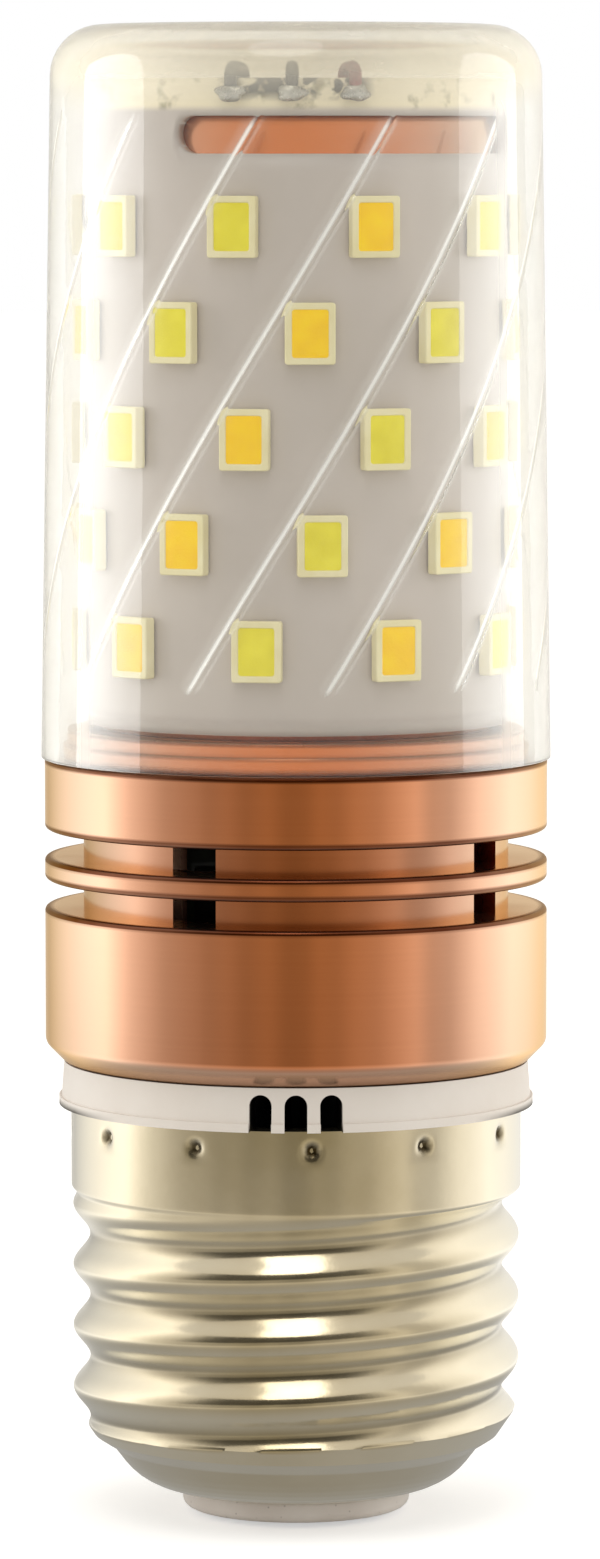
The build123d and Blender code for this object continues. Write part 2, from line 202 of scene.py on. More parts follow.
def facing_out(across: np.ndarray, out: np.ndarray, up: np.ndarray, angle: Numbers) -> np.ndarray:
    """Place points that lie round a line out from the axis, which is turned from the front by an angle.

    Args:
        across: Distance to the right of the line, seen from outside.
        out: Distance from the axis.
        up: Height.
        angle: Angle from the front towards +X, in radians.

    Returns:
        Points across times the tangent plus out times the outward direction, at their height.
    """
    sine, cosine = np.sin(angle), np.cos(angle)
    places = np.broadcast_arrays(across * cosine + out * sine, across * sine - out * cosine, up)
    return np.stack(places, axis=-1)


@dataclass
class Surface:
    """Points in millimetres, the four-sided faces between them, and a value at each point.

    Attributes:
        points: Array of n by 3.
        faces: Array of m by 4 point numbers.
        hollow: How dulled or frosted each point is, from 0 to 1; on metal it also sets painted shade.
    """

    points: np.ndarray
    faces: np.ndarray
    hollow: Optional[np.ndarray] = None

    @classmethod
    def grid(cls, points: np.ndarray, wrap_rows: bool = False, wrap_columns: bool = True) -> "Surface":
        """Join a grid of points into faces, each between two rows and two columns.

        Args:
            points: Array of rows by columns by 3.
            wrap_rows: Whether the last row joins the first.
            wrap_columns: Whether the last column joins the first.

        Returns:
            The surface. It faces out where columns run anticlockwise and rows run upwards outside.
        """
        rows, columns = points.shape[:2]
        row, column = np.meshgrid(
            np.arange(rows - (not wrap_rows)), np.arange(columns - (not wrap_columns)), indexing="ij"
        )
        next_row, next_column = (row + 1) % rows, (column + 1) % columns
        corners = [(row, column), (row, next_column), (next_row, next_column), (next_row, column)]
        faces = np.stack([r * columns + c for r, c in corners], axis=-1).reshape(-1, 4)
        return cls(points.reshape(-1, 3), faces)

    @classmethod
    def joined(cls, parts: Sequence["Surface"]) -> "Surface":
        """Put several surfaces into one.

        Args:
            parts: The surfaces.

        Returns:
            One surface with all their points and faces.
        """
        starts = np.cumsum([0] + [len(part.points) for part in parts[:-1]])
        points = np.concatenate([part.points for part in parts])
        return cls(points, np.concatenate([part.faces + start for part, start in zip(parts, starts)]))

    @classmethod
    def turned(cls, profile: np.ndarray, columns: int = 160, closed: bool = True) -> "Surface":
        """Carry a profile of radius and height once round the axis.

        Args:
            profile: Points of radius and height, anticlockwise with radius to the right.
            columns: Steps round the axis.
            closed: Whether the profile's end joins its start.

        Returns:
            The turned surface.
        """
        angles = np.linspace(0, TURN, columns, endpoint=False)
        return cls.grid(on_axis(profile[:, :1], angles, profile[:, 1:]), wrap_rows=closed)

    @classmethod
    def tube(cls, path: np.ndarray, radius: float, aside: np.ndarray, sides: int = 20) -> "Surface":
        """Carry a circle along a path, with its two ends closed.

        The circle's first axis is the path's direction crossed with a fixed sideways direction, and its
        second is the direction crossed with the first.

        Args:
            path: Points of the path.
            radius: Radius of the circle.
            aside: Direction that the path never takes.
            sides: Points round the circle.

        Returns:
            The closed tube.
        """
        along = unit(np.gradient(path, axis=0))
        first = unit(np.cross(aside, along))
        second = np.cross(along, first)
        turn = np.linspace(0, TURN, sides, endpoint=False)[None, :, None]
        rings = path[:, None] + radius * (np.cos(turn) * first[:, None] + np.sin(turn) * second[:, None])
        ends = [np.repeat(path[k][None, None], sides, axis=1) for k in (0, -1)]
        return cls.grid(np.concatenate([ends[0], rings, ends[1]]))


# Shader nodes
class Nodes:
    """Adds and joins nodes in one shader tree."""

    def __init__(self, tree: bpy.types.NodeTree) -> None:
        """Keep the tree that the nodes go into."""
        self.tree = tree

    @classmethod
    def of(cls, owner: Union[bpy.types.Material, bpy.types.World]) -> "Nodes":
        """Clear the nodes of a material or a world.

        Args:
            owner: What the nodes belong to.

        Returns:
            Its empty tree.
        """
        owner.use_nodes = True
        owner.node_tree.nodes.clear()
        return cls(owner.node_tree)

    def add(self, kind: str, inputs: Optional[dict] = None, **settings: object) -> bpy.types.Node:
        """Add one node.

        Args:
            kind: The node's type, without its ShaderNode prefix.
            inputs: A value or a socket to join for each input, by name or number.
            **settings: Properties of the node itself.

        Returns:
            The new node.
        """
        node = self.tree.nodes.new("ShaderNode" + kind)
        for key, value in settings.items():
            setattr(node, key, value)
        for key, value in (inputs or {}).items():
            self.feed(node.inputs[key], value)
        return node

    def feed(self, socket: Socket, value: SocketValue) -> None:
        """Join a socket to another one, or set its own value.

        Args:
            socket: The input.
            value: What it gets.
        """
        if isinstance(value, Socket):
            self.tree.links.new(value, socket)
        else:
            socket.default_value = value

    def maths(self, operation: str, *values: SocketValue) -> Socket:
        """Work out one number from others."""
        return self.add("Math", dict(enumerate(values)), operation=operation).outputs[0]

    def blend(self, share: SocketValue, first: SocketValue, second: SocketValue) -> Socket:
        """Mix two colours by a share."""
        return self.add("Mix", {0: share, 6: first, 7: second}, data_type="RGBA").outputs[2]

    def mix(self, share: SocketValue, first: Socket, second: Socket) -> Socket:
        """Mix two shaders by a share."""
        return self.add("MixShader", {0: share, 1: first, 2: second}).outputs[0]

    def ramp(
        self,
        value: Socket,
        span: Sequence[SocketValue],
        ends: Sequence[SocketValue] = (0.0, 1.0),
        smooth: bool = False,
    ) -> Socket:
        """Carry a value over a span from one end to another, and hold it there outside the span.

        Args:
            value: The value.
            span: Where the change begins and where it is full.
            ends: What comes out at the two.
            smooth: Whether the change eases in and out.

        Returns:
            The carried value.
        """
        inputs = {0: value, 1: span[0], 2: span[1], 3: ends[0], 4: ends[1]}
        kind = "SMOOTHSTEP" if smooth else "LINEAR"
        return self.add("MapRange", inputs, interpolation_type=kind).outputs[0]

    def place(self) -> Sequence[Socket]:
        """Split the object's own coordinates."""
        return self.add("SeparateXYZ", {0: self.add("TexCoord").outputs["Object"]}).outputs

    def reach(self) -> Socket:
        """Measure the distance from the axis.

        Returns:
            The distance, in metres.
        """
        place = self.place()
        flat = self.add("CombineXYZ", {0: place[0], 1: place[1]}).outputs[0]
        return self.add("VectorMath", {0: flat}, operation="LENGTH").outputs["Value"]

    def bearing(self) -> Socket:
        """Measure the angle from the front towards +X, in radians."""
        place = self.place()
        return self.maths("ARCTAN2", place[0], self.maths("MULTIPLY", place[1], -1.0))

    def slant(self, blend: float = 0.5) -> Socket:
        """Rise from 0 where the surface faces the eye to 1 at its outline."""
        return self.add("LayerWeight", {"Blend": blend}).outputs["Facing"]

    def hollow(self) -> Socket:
        """Read the surface's own value at each point."""
        return self.add("Attribute", attribute_name=HOLLOW).outputs["Fac"]

    def effect(self, group: bpy.types.NodeTree, **inputs: SocketValue) -> Socket:
        """Place a shared effect with its own values."""
        return self.add("Group", inputs, node_tree=group).outputs[0]


def start_group(name: str, inputs: dict[str, float], output: str) -> tuple[Nodes, dict, Socket]:
    """Begin a shared effect.

    Args:
        name: The group's name.
        inputs: Default of each input value.
        output: Name of the output value.

    Returns:
        The group's nodes, its input sockets by name, and its output socket.
    """
    group = bpy.data.node_groups.new(name, "ShaderNodeTree")
    for key, value in inputs.items():
        group.interface.new_socket(key, in_out="INPUT", socket_type="NodeSocketFloat").default_value = value
    group.interface.new_socket(output, in_out="OUTPUT", socket_type="NodeSocketFloat")
    entry = group.nodes.new("NodeGroupInput")
    leave = group.nodes.new("NodeGroupOutput")
    return Nodes(group), {key: entry.outputs[key] for key in inputs}, leave.inputs[output]


@dataclass
class Effects:
    """The shared effects, each a node group that is built once.

    Attributes:
        cloud_detail: Octaves of the mottle's noise.
        cloud_span: Part of that noise that is stretched to the whole range.
        mark_detail: Octaves of the turning marks' noise.
        mark_span: Part of that noise that is stretched to the whole range.
    """

    cloud_detail: float = 5.0
    cloud_span: tuple[float, float] = (0.32, 0.68)
    mark_detail: float = 3.0
    mark_span: tuple[float, float] = (0.3, 0.7)

    def __post_init__(self) -> None:
        """Build every effect's node group."""
        self.mottle = self._mottle()
        self.turning_marks = self._turning_marks()
        self.specks = self._specks()

    def _mottle(self) -> bpy.types.NodeTree:
        """Make soft cloudy change: noise on the object's own coordinates, stretched to a range.

        Returns:
            The effect.
        """
        nodes, given, out = start_group("soft_mottle", {"Scale": 200.0, "Low": 0.0, "High": 1.0}, "Value")
        place = nodes.add("TexCoord").outputs["Object"]
        noise = {"Vector": place, "Scale": given["Scale"], "Detail": self.cloud_detail}
        clouds = nodes.add("TexNoise", noise).outputs[0]
        nodes.feed(out, nodes.ramp(clouds, self.cloud_span, (given["Low"], given["High"])))
        return nodes.tree

    def _turning_marks(self) -> bpy.types.NodeTree:
        """Make lathe marks: noise drawn out round the axis, so that it changes fast with height and radius.

        Returns:
            The effect.
        """
        nodes, given, out = start_group("turning_marks", {"Lines": 5000.0, "Wander": 25.0}, "Tone")
        place = nodes.place()
        fast = nodes.maths("MULTIPLY", nodes.maths("ADD", place[2], nodes.reach()), given["Lines"])
        slow = [nodes.maths("MULTIPLY", place[k], given["Wander"]) for k in (0, 1)]
        where = nodes.add("CombineXYZ", {0: slow[0], 1: slow[1], 2: fast}).outputs[0]
        noise = nodes.add("TexNoise", {"Vector": where, "Scale": 1.0, "Detail": self.mark_detail})
        nodes.feed(out, nodes.ramp(noise.outputs[0], self.mark_span))
        return nodes.tree

    def _specks(self) -> bpy.types.NodeTree:
        """Make sparse small spots: 1 at random points, falling evenly to 0 a set distance away.

        Returns:
            The effect.
        """
        nodes, given, out = start_group("fine_specks", {"Scale": 900.0, "Size": 0.12}, "Mask")
        place = nodes.add("TexCoord").outputs["Object"]
        cells = nodes.add("TexVoronoi", {"Vector": place, "Scale": given["Scale"], "Randomness": 1.0})
        nodes.feed(out, nodes.ramp(cells.outputs["Distance"], (0.0, given["Size"]), (1.0, 0.0)))
        return nodes.tree


EFFECTS = Effects()


# Finishes
class Slot(Enum):
    """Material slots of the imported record."""

    COVER = "clear_plastic"
    COPPER = "copper_anodised"
    BOARD = "board_mask"
    PACKAGE = "led_package"
    WARM = "warm_phosphor"
    COOL = "cool_phosphor"
    COLLAR = "collar_plastic"
    NICKEL = "nickel_plate"
    INSULATOR = "insulator_plastic"
    CONTACT = "contact_metal"
    LAMINATE = "driver_laminate"
    CAN = "capacitor_sleeve"
    FILM = "film_capacitor_case"
    CHIP = "chip_body"
    FERRITE = "ferrite"
    RESISTOR = "resistor_body"
    RED = "red_insulation"
    BLACK = "black_insulation"
    WHITE = "white_insulation"
    SOLDER = "solder"


@dataclass(frozen=True)
class Finish:
    """A solid finish: two tones in a soft mottle, uneven gloss, fine grain and specks.

    Attributes:
        slot: The record's slot that it dresses.
        colour: Main tone.
        shade: Tone in the mottle's low places.
        rough: Least and greatest roughness.
        mottle: Mottle's scale, per metre.
        grain: Grain's scale, per metre.
        relief: Height of the grain, in millimetres.
        metal: 1 for metal, 0 otherwise.
        coat: Share of clear coat.
        lines: Turning marks per metre, or 0 for none.
        speck: Tone of the specks, or none.
        glow: Painted light: emission that stands for the light that the phosphor gives back.
        mirror: How strongly a plain surface mirrors.
        edge: Tint of what it mirrors at a slant.
        mark_share: Share of the tone that the turning marks give.
        mark_wander: How fast the raised marks change round the axis, per metre.
        finer_marks: Raised marks for each mark in the tone.
        finer_gloss: Scale of the uneven gloss, in the mottle's scales.
    """

    slot: Slot
    colour: str
    shade: str
    rough: tuple[float, float] = (0.35, 0.5)
    mottle: float = 180.0
    grain: float = 2500.0
    relief: float = 0.004
    metal: float = 0.0
    coat: float = 0.0
    lines: float = 0.0
    speck: Optional[str] = None
    glow: float = 0.0
    mirror: float = 0.5
    edge: str = "FFFFFF"
    mark_share: float = 0.35
    mark_wander: float = 18.0
    finer_marks: float = 1.7
    finer_gloss: float = 3.1

    def material(self) -> bpy.types.Material:
        """Return the finish's material, built on first use."""
        return bpy.data.materials.get("look_" + self.slot.value) or self._built()

    def _built(self) -> bpy.types.Material:
        """Build the material's nodes.

        Returns:
            The new material.
        """
        material = bpy.data.materials.new("look_" + self.slot.value)
        nodes = Nodes.of(material)
        colour = self.colouring(nodes)
        sockets = {
            "Base Color": colour,
            "Roughness": self.gloss(nodes),
            "Normal": self.grain_normal(nodes),
            "Metallic": self.metal,
            "Coat Weight": self.coat,
            "Specular IOR Level": self.mirror,
            "Specular Tint": linear(self.edge),
        }
        # Painted light: the unlit phosphor is given a glow
        if self.glow:
            sockets.update({"Emission Color": colour, "Emission Strength": self.glow})
        shader = nodes.add("BsdfPrincipled", sockets)
        nodes.add("OutputMaterial", {"Surface": self.covered(nodes, shader)})
        return material

    def colouring(self, nodes: Nodes) -> Socket:
        """Mix the two tones and add the specks.

        Args:
            nodes: The material's nodes.

        Returns:
            The colour.
        """
        tone = nodes.effect(EFFECTS.mottle, Scale=self.mottle)
        if self.lines:
            marks = nodes.effect(EFFECTS.turning_marks, Lines=self.lines)
            marks = nodes.maths("MULTIPLY", marks, self.mark_share)
            tone = nodes.maths("ADD", nodes.maths("MULTIPLY", tone, 1 - self.mark_share), marks)
        colour = nodes.blend(tone, linear(self.shade), linear(self.colour))
        if self.speck:
            spots = nodes.effect(EFFECTS.specks, Scale=self.grain / 2)
            colour = nodes.blend(spots, colour, linear(self.speck))
        return colour

    def gloss(self, nodes: Nodes) -> Socket:
        """Vary the roughness between its two values."""
        low, high = self.rough
        return nodes.effect(EFFECTS.mottle, Scale=self.mottle * self.finer_gloss, Low=low, High=high)

    def grain_normal(self, nodes: Nodes) -> Socket:
        """Raise the turning marks, or the fine grain where there are none.

        Args:
            nodes: The material's nodes.

        Returns:
            The normal.
        """
        if self.lines:
            fine = {"Lines": self.lines * self.finer_marks, "Wander": self.mark_wander}
            height = nodes.effect(EFFECTS.turning_marks, **fine)
        else:
            height = nodes.effect(EFFECTS.mottle, Scale=self.grain)
        bump = {"Height": height, "Strength": 1.0, "Distance": self.relief * MM}
        return nodes.add("Bump", bump).outputs[0]

    def covered(self, nodes: Nodes, shader: bpy.types.Node) -> Socket:
        """Return the shader that the surface shows."""
        return shader.outputs[0]


@dataclass(frozen=True)
class ClearPlastic(Finish):
    """Clear moulded plastic that lets the lamps reach what is behind it.

    Attributes:
        bend: Index of refraction.
        passed: Tone of the light that the lamps send through it.
        crown: Tone of the hazy crown.
        crown_span: Heights where the haze begins and where it is strongest, in millimetres.
        cloud: Scale of the haze's clouds, per metre.
        cloud_low: Share of the haze that is left between the clouds.
        haze: Share of light that the crown scatters.
        frost: Share of light that the grooves' edges scatter.
        bloom: Share of light that a wall scatters where it is seen at a slant.
        bloom_span: Slant where that begins, and where it is full.
        outline_shade: Painted shade: a greyer tone at the outline.
        outline_shade_span: Slant where that painted shade begins, and where it is full.
    """

    bend: float = 1.49
    passed: str = "FDFDFB"
    crown: str = "EFE9D8"
    crown_span: tuple[float, float] = (82.0, 85.0)
    cloud: float = 260.0
    cloud_low: float = 0.75
    haze: float = 0.36
    frost: float = 0.9
    bloom: float = 0.28
    bloom_span: tuple[float, float] = (0.12, 0.45)
    outline_shade: str = "DAD5C8"
    outline_shade_span: tuple[float, float] = (0.4, 0.85)

    def _crown_mask(self, nodes: Nodes) -> Socket:
        """Find the crown: 0 on the walls, rising unevenly to 1.

        Args:
            nodes: The material's nodes.

        Returns:
            The mask.
        """
        rise = nodes.ramp(nodes.place()[2], metres(*self.crown_span), smooth=True)
        clouds = nodes.effect(EFFECTS.mottle, Scale=self.cloud, Low=self.cloud_low, High=1.0)
        return nodes.maths("MULTIPLY", rise, clouds)

    def colouring(self, nodes: Nodes) -> Socket:
        """Paint shade at the outline, then tint the crown.

        Args:
            nodes: The material's nodes.

        Returns:
            The colour.
        """
        # Painted shade: the clear plastic greys towards its outline
        outline = nodes.ramp(nodes.slant(), self.outline_shade_span)
        wall = nodes.blend(outline, super().colouring(nodes), linear(self.outline_shade))
        return nodes.blend(self._crown_mask(nodes), wall, linear(self.crown))

    def _milky_mask(self, nodes: Nodes) -> Socket:
        """Find the milky places: the crown, the grooves' edges and walls that are seen at a slant.

        Args:
            nodes: The material's nodes.

        Returns:
            The share of light that is scattered.
        """
        crown = nodes.maths("MULTIPLY", self._crown_mask(nodes), self.haze)
        edges = nodes.maths("MULTIPLY", nodes.hollow(), self.frost)
        walls = nodes.ramp(nodes.slant(), self.bloom_span, (0.0, self.bloom), smooth=True)
        return nodes.maths("MAXIMUM", nodes.maths("MAXIMUM", crown, edges), walls)

    def covered(self, nodes: Nodes, shader: bpy.types.Node) -> Socket:
        """Make the shader clear, mix the milky places in, and let lamps light what is behind.

        Args:
            nodes: The material's nodes.
            shader: The plastic's own shader.

        Returns:
            The shader that the surface shows.
        """
        shader.inputs["Transmission Weight"].default_value = 1.0
        shader.inputs["IOR"].default_value = self.bend
        milky = nodes.add("BsdfPrincipled", {"IOR": self.bend})
        for name in ("Base Color", "Roughness", "Normal"):
            nodes.feed(milky.inputs[name], shader.inputs[name].links[0].from_socket)
        plastic = nodes.mix(self._milky_mask(nodes), shader.outputs[0], milky.outputs[0])
        path = nodes.add("LightPath").outputs
        passing = nodes.maths("MAXIMUM", path["Is Shadow Ray"], path["Is Diffuse Ray"])
        open_way = nodes.add("BsdfTransparent", {"Color": linear(self.passed)}).outputs[0]
        return nodes.mix(passing, plastic, open_way)


@dataclass(frozen=True)
class PlatedSheet(Finish):
    """Plated or anodised metal that has dulled in its hollows, where it is tarnished and darkened with
    painted shade.

    Attributes:
        tarnish_and_shade: Tone in the hollows, for tarnished metal and for painted shade.
        painted_sheen: Painted sheen: a paler tone where the surface is seen at a slant.
        painted_sheen_blend: How much of the surface that painted sheen reaches, from 0 to 1.
        dulling: Roughness that a full hollow adds.
        finer_tarnish_and_shade: Scale of the clouds of that tone, in the mottle's scales.
        tarnish_and_shade_low: Share of that tone that is left between the clouds.
    """

    tarnish_and_shade: str = "6E5F38"
    painted_sheen: str = "FFFFFF"
    painted_sheen_blend: float = 0.7
    dulling: float = 0.18
    finer_tarnish_and_shade: float = 1.7
    tarnish_and_shade_low: float = 0.8

    def gloss(self, nodes: Nodes) -> Socket:
        """Roughen the hollows a little."""
        return nodes.maths("ADD", super().gloss(nodes), nodes.maths("MULTIPLY", nodes.hollow(), self.dulling))

    def colouring(self, nodes: Nodes) -> Socket:
        """Lay a darker tone over the plate where the surface's own hollow value is high: tarnished metal and
        painted shade.

        Args:
            nodes: The material's nodes.

        Returns:
            The colour.
        """
        # Painted sheen: the plate pales where it is seen at a slant
        plate = nodes.blend(nodes.slant(self.painted_sheen_blend), super().colouring(nodes), linear(self.painted_sheen))
        clouds = {"Scale": self.mottle * self.finer_tarnish_and_shade, "Low": self.tarnish_and_shade_low, "High": 1.0}
        # The hollow value darkens the plate: tarnished metal and painted shade
        dull_and_shade = nodes.maths("MULTIPLY", nodes.hollow(), nodes.effect(EFFECTS.mottle, **clouds))
        return nodes.blend(dull_and_shade, plate, linear(self.tarnish_and_shade))


@dataclass(frozen=True)
class BoardMask(Finish):
    """Solder mask with a stained strip along the board's top rim, and painted light at its foot.

    Attributes:
        strip: Tone of the strip.
        strip_span: Heights where the strip begins and where it is full, in millimetres.
        stain: Tone of its stains.
        stain_scale: Scale of the stains, per metre.
        stain_range: Range that their mottle is stretched to, before it is held between 0 and 1.
        flux: Tone of the flux left round the joints.
        flux_scale: Scale of its patches, per metre.
        flux_range: Range that their mottle is stretched to, before it is held between 0 and 1.
        flux_span: Heights where the flux begins and where it is full, in millimetres.
        flux_reach: Angles from the front where the flux begins to fade and where it ends, in degrees.
        foot: Painted light: a paler tone at the board's foot.
        foot_light_span: How far over the board's end that painted light begins to fade and ends, in
            millimetres.
    """

    strip: str = "F4E8CA"
    strip_span: tuple[float, float] = (82.3, 82.8)
    stain: str = "9A9068"
    stain_scale: float = 650.0
    stain_range: tuple[float, float] = (-1.7, 0.9)
    flux: str = "3A331C"
    flux_scale: float = 1100.0
    flux_range: tuple[float, float] = (-1.6, 2.4)
    flux_span: tuple[float, float] = (82.9, 83.5)
    flux_reach: tuple[float, float] = (16.8, 21.0)
    foot: str = "EFEBE6"
    foot_light_span: tuple[float, float] = (0.2, 0.9)

    def colouring(self, nodes: Nodes) -> Socket:
        """Lay the painted light at the foot, the strip, its stains and the flux over the mask's own tones.

        Args:
            nodes: The material's nodes.

        Returns:
            The colour.
        """
        height = nodes.place()[2]
        end = Extent.of("led_board").bottom
        # Painted light: the board pales towards its foot
        low = nodes.ramp(height, metres(*(end + rise for rise in self.foot_light_span)), (1.0, 0.0), smooth=True)
        mask = nodes.blend(low, super().colouring(nodes), linear(self.foot))
        stains = self._patches(nodes, self.stain_scale, self.stain_range)
        strip = nodes.blend(stains, linear(self.strip), linear(self.stain))
        aside = nodes.maths("ABSOLUTE", nodes.bearing())
        near = nodes.ramp(aside, np.radians(self.flux_reach).tolist(), (1.0, 0.0))
        where = nodes.maths("MULTIPLY", near, nodes.ramp(height, metres(*self.flux_span)))
        flux = nodes.maths("MULTIPLY", self._patches(nodes, self.flux_scale, self.flux_range), where)
        rim = nodes.ramp(height, metres(*self.strip_span), smooth=True)
        return nodes.blend(rim, mask, nodes.blend(flux, strip, linear(self.flux)))

    @staticmethod
    def _patches(nodes: Nodes, scale: float, span: Sequence[float]) -> Socket:
        """Stretch a mottle past 0 and 1 and hold it there, which leaves patches."""
        cloudy = nodes.effect(EFFECTS.mottle, Scale=scale, Low=span[0], High=span[1])
        return nodes.add("Clamp", {0: cloudy}).outputs[0]


@dataclass(frozen=True)
class Moulding(Finish):
    """Moulded plastic with painted shade inside its vents and a painted shadow line along its lower rim.

    Attributes:
        inside: Painted shade: the dark tone behind the outer face, inside the vents.
        face_span: Radii where that painted shade begins to fade and where it ends, in millimetres.
        rim_shadow: Tone of the painted shadow line along the lower rim.
        rim_shadow_span: Heights where that line begins to fade and where it ends, in millimetres.
        rim_shadow_slant: Slant where that line begins, and where it is full.
    """

    inside: str = "15110E"
    face_span: tuple[float, float] = (13.4, 13.6)
    rim_shadow: str = "3A3426"
    rim_shadow_span: tuple[float, float] = (24.35, 24.7)
    rim_shadow_slant: tuple[float, float] = (0.35, 0.65)

    def colouring(self, nodes: Nodes) -> Socket:
        """Paint shade on what lies behind the outer face, and a shadow line on the rim where it is seen at a
        slant.

        Args:
            nodes: The material's nodes.

        Returns:
            The colour.
        """
        # Painted shade behind the outer face, inside the vents
        behind = nodes.ramp(nodes.reach(), metres(*self.face_span), (1.0, 0.0))
        shaded = nodes.blend(behind, super().colouring(nodes), linear(self.inside))
        # Painted shadow line along the lower rim, only where it is seen at a slant
        line = nodes.ramp(nodes.place()[2], metres(*self.rim_shadow_span), (1.0, 0.0))
        rim_shadow_mask = nodes.maths("MULTIPLY", line, nodes.ramp(nodes.slant(), self.rim_shadow_slant))
        return nodes.blend(rim_shadow_mask, shaded, linear(self.rim_shadow))


# Slot, main tone, shade, roughness, mottle, grain, relief and metal, then what is special to the finish
FINISHES: dict[Slot, Finish] = {
    finish.slot: finish
    for finish in (
        ClearPlastic(Slot.COVER, "FEFEFC", "FCFCF8", (0.01, 0.035), 60.0, 260.0, 0.004),
        PlatedSheet(
            Slot.COPPER, "E98C50", "E08144", (0.1, 0.16), 60.0, 3000.0, 0.00016, 1.0,
            lines=5200.0, edge="FFE4BC", tarnish_and_shade="561E05", painted_sheen="FDEAD6",
        ),
        BoardMask(
            Slot.BOARD, "CCC2BC", "C0B6AF", (0.3, 0.42), 90.0, 5000.0, 0.002, coat=0.15, speck="B0A79F",
        ),
        Finish(Slot.PACKAGE, "F5ECC4", "ECE1B0", (0.3, 0.45), 500.0, 6000.0, 0.002),
        # The phosphors' glow is painted light
        Finish(Slot.WARM, "F6CC00", "EEBF00", (0.35, 0.5), 900.0, 7000.0, 0.006, glow=0.2, mirror=0.15),
        Finish(Slot.COOL, "E6DB3A", "DACD2C", (0.35, 0.5), 900.0, 7000.0, 0.006, glow=0.16, mirror=0.15),
        Moulding(Slot.COLLAR, "EEE7DE", "E5DCD1", (0.35, 0.5), 120.0, 3000.0, 0.003),
        PlatedSheet(
            Slot.NICKEL, "DCCBA6", "C0AC7E", (0.12, 0.19), 110.0, 2200.0, 0.0015, 1.0,
            tarnish_and_shade="3E3118", painted_sheen="EEEADC",
        ),
        Finish(
            Slot.INSULATOR, "F2EAE2", "E6DCD3", (0.3, 0.5), 260.0, 3000.0, 0.004, coat=0.2, speck="AFA49B",
        ),
        Finish(Slot.CONTACT, "DAD3C2", "B9AC8C", (0.2, 0.4), 500.0, 3000.0, 0.004, 1.0, lines=3000.0),
        Finish(Slot.LAMINATE, "1D3A24", "142A1A", (0.3, 0.45), 300.0, 2500.0, 0.004, coat=0.3),
        Finish(Slot.CAN, "26262B", "17171A", (0.25, 0.4), 200.0, 2500.0, 0.004, coat=0.4),
        Finish(Slot.FILM, "C98A26", "A96F18", (0.35, 0.5), 250.0, 2500.0, 0.006),
        Finish(Slot.CHIP, "1E1E20", "121214", (0.45, 0.6), 400.0, 4000.0, 0.004),
        Finish(Slot.FERRITE, "3A3B3D", "29292B", (0.5, 0.7), 350.0, 3500.0, 0.008, speck="55565A"),
        Finish(Slot.RESISTOR, "8FB4C8", "7499AF", (0.3, 0.45), 350.0, 3000.0, 0.004, coat=0.3),
        Finish(Slot.RED, "8E1713", "6A0F0C", (0.35, 0.5), 300.0, 3500.0, 0.003),
        Finish(Slot.BLACK, "1B1B1C", "101011", (0.35, 0.5), 300.0, 3500.0, 0.003),
        Finish(Slot.WHITE, "E4E0D8", "D3CDC3", (0.35, 0.5), 300.0, 3500.0, 0.003),
        Finish(Slot.SOLDER, "C9C9C6", "9B9A95", (0.18, 0.4), 900.0, 4000.0, 0.006, 1.0),
    )
}


# Pieces
def make_piece(name: str, surface: Surface, slot: Slot, node: str, crease: float = 38.0) -> bpy.types.Object:
    """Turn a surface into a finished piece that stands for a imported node.

    Args:
        name: The piece's name.
        surface: Its points and faces.
        slot: The slot whose finish it wears.
        node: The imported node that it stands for.
        crease: Angle in degrees past which an edge stays sharp.

    Returns:
        The piece.
    """
    mesh = bpy.data.meshes.new(name)
    faces = surface.faces.astype(np.int32)
    mesh.vertices.add(len(surface.points))
    mesh.vertices.foreach_set("co", (surface.points * MM).astype(np.float32).ravel())
    mesh.loops.add(faces.size)
    mesh.loops.foreach_set("vertex_index", faces.ravel())
    mesh.polygons.add(len(faces))
    mesh.polygons.foreach_set("loop_start", np.arange(0, faces.size, 4, dtype=np.int32))
    if surface.hollow is not None:
        layer = mesh.attributes.new(HOLLOW, "FLOAT", "POINT")
        layer.data.foreach_set("value", surface.hollow.astype(np.float32).ravel())
    mesh.update(calc_edges=True)
    work = bmesh.new()
    work.from_mesh(mesh)
    bmesh.ops.remove_doubles(work, verts=work.verts, dist=MERGE_DISTANCE)
    bmesh.ops.dissolve_degenerate(work, edges=work.edges, dist=MERGE_DISTANCE)
    work.to_mesh(mesh)
    work.free()
    mesh.polygons.foreach_set("use_smooth", np.ones(len(mesh.polygons), bool))
    mesh.set_sharp_from_angle(angle=math.radians(crease))
    mesh.materials.append(FINISHES[slot].material())
    piece = put_in_scene(name, mesh)
    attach(piece, ROOT)
    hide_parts(node)
    log.info("%s: %d faces", name, len(mesh.polygons))
    return piece


def dress_node(node: str, slot: Slot) -> None:
    """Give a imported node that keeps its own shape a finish.

    Args:
        node: The node.
        slot: The slot whose finish it wears.
    """
    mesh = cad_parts[node].data
    mesh.materials.clear()
    mesh.materials.append(FINISHES[slot].material())
    log.info("%s: dressed as packed", node)


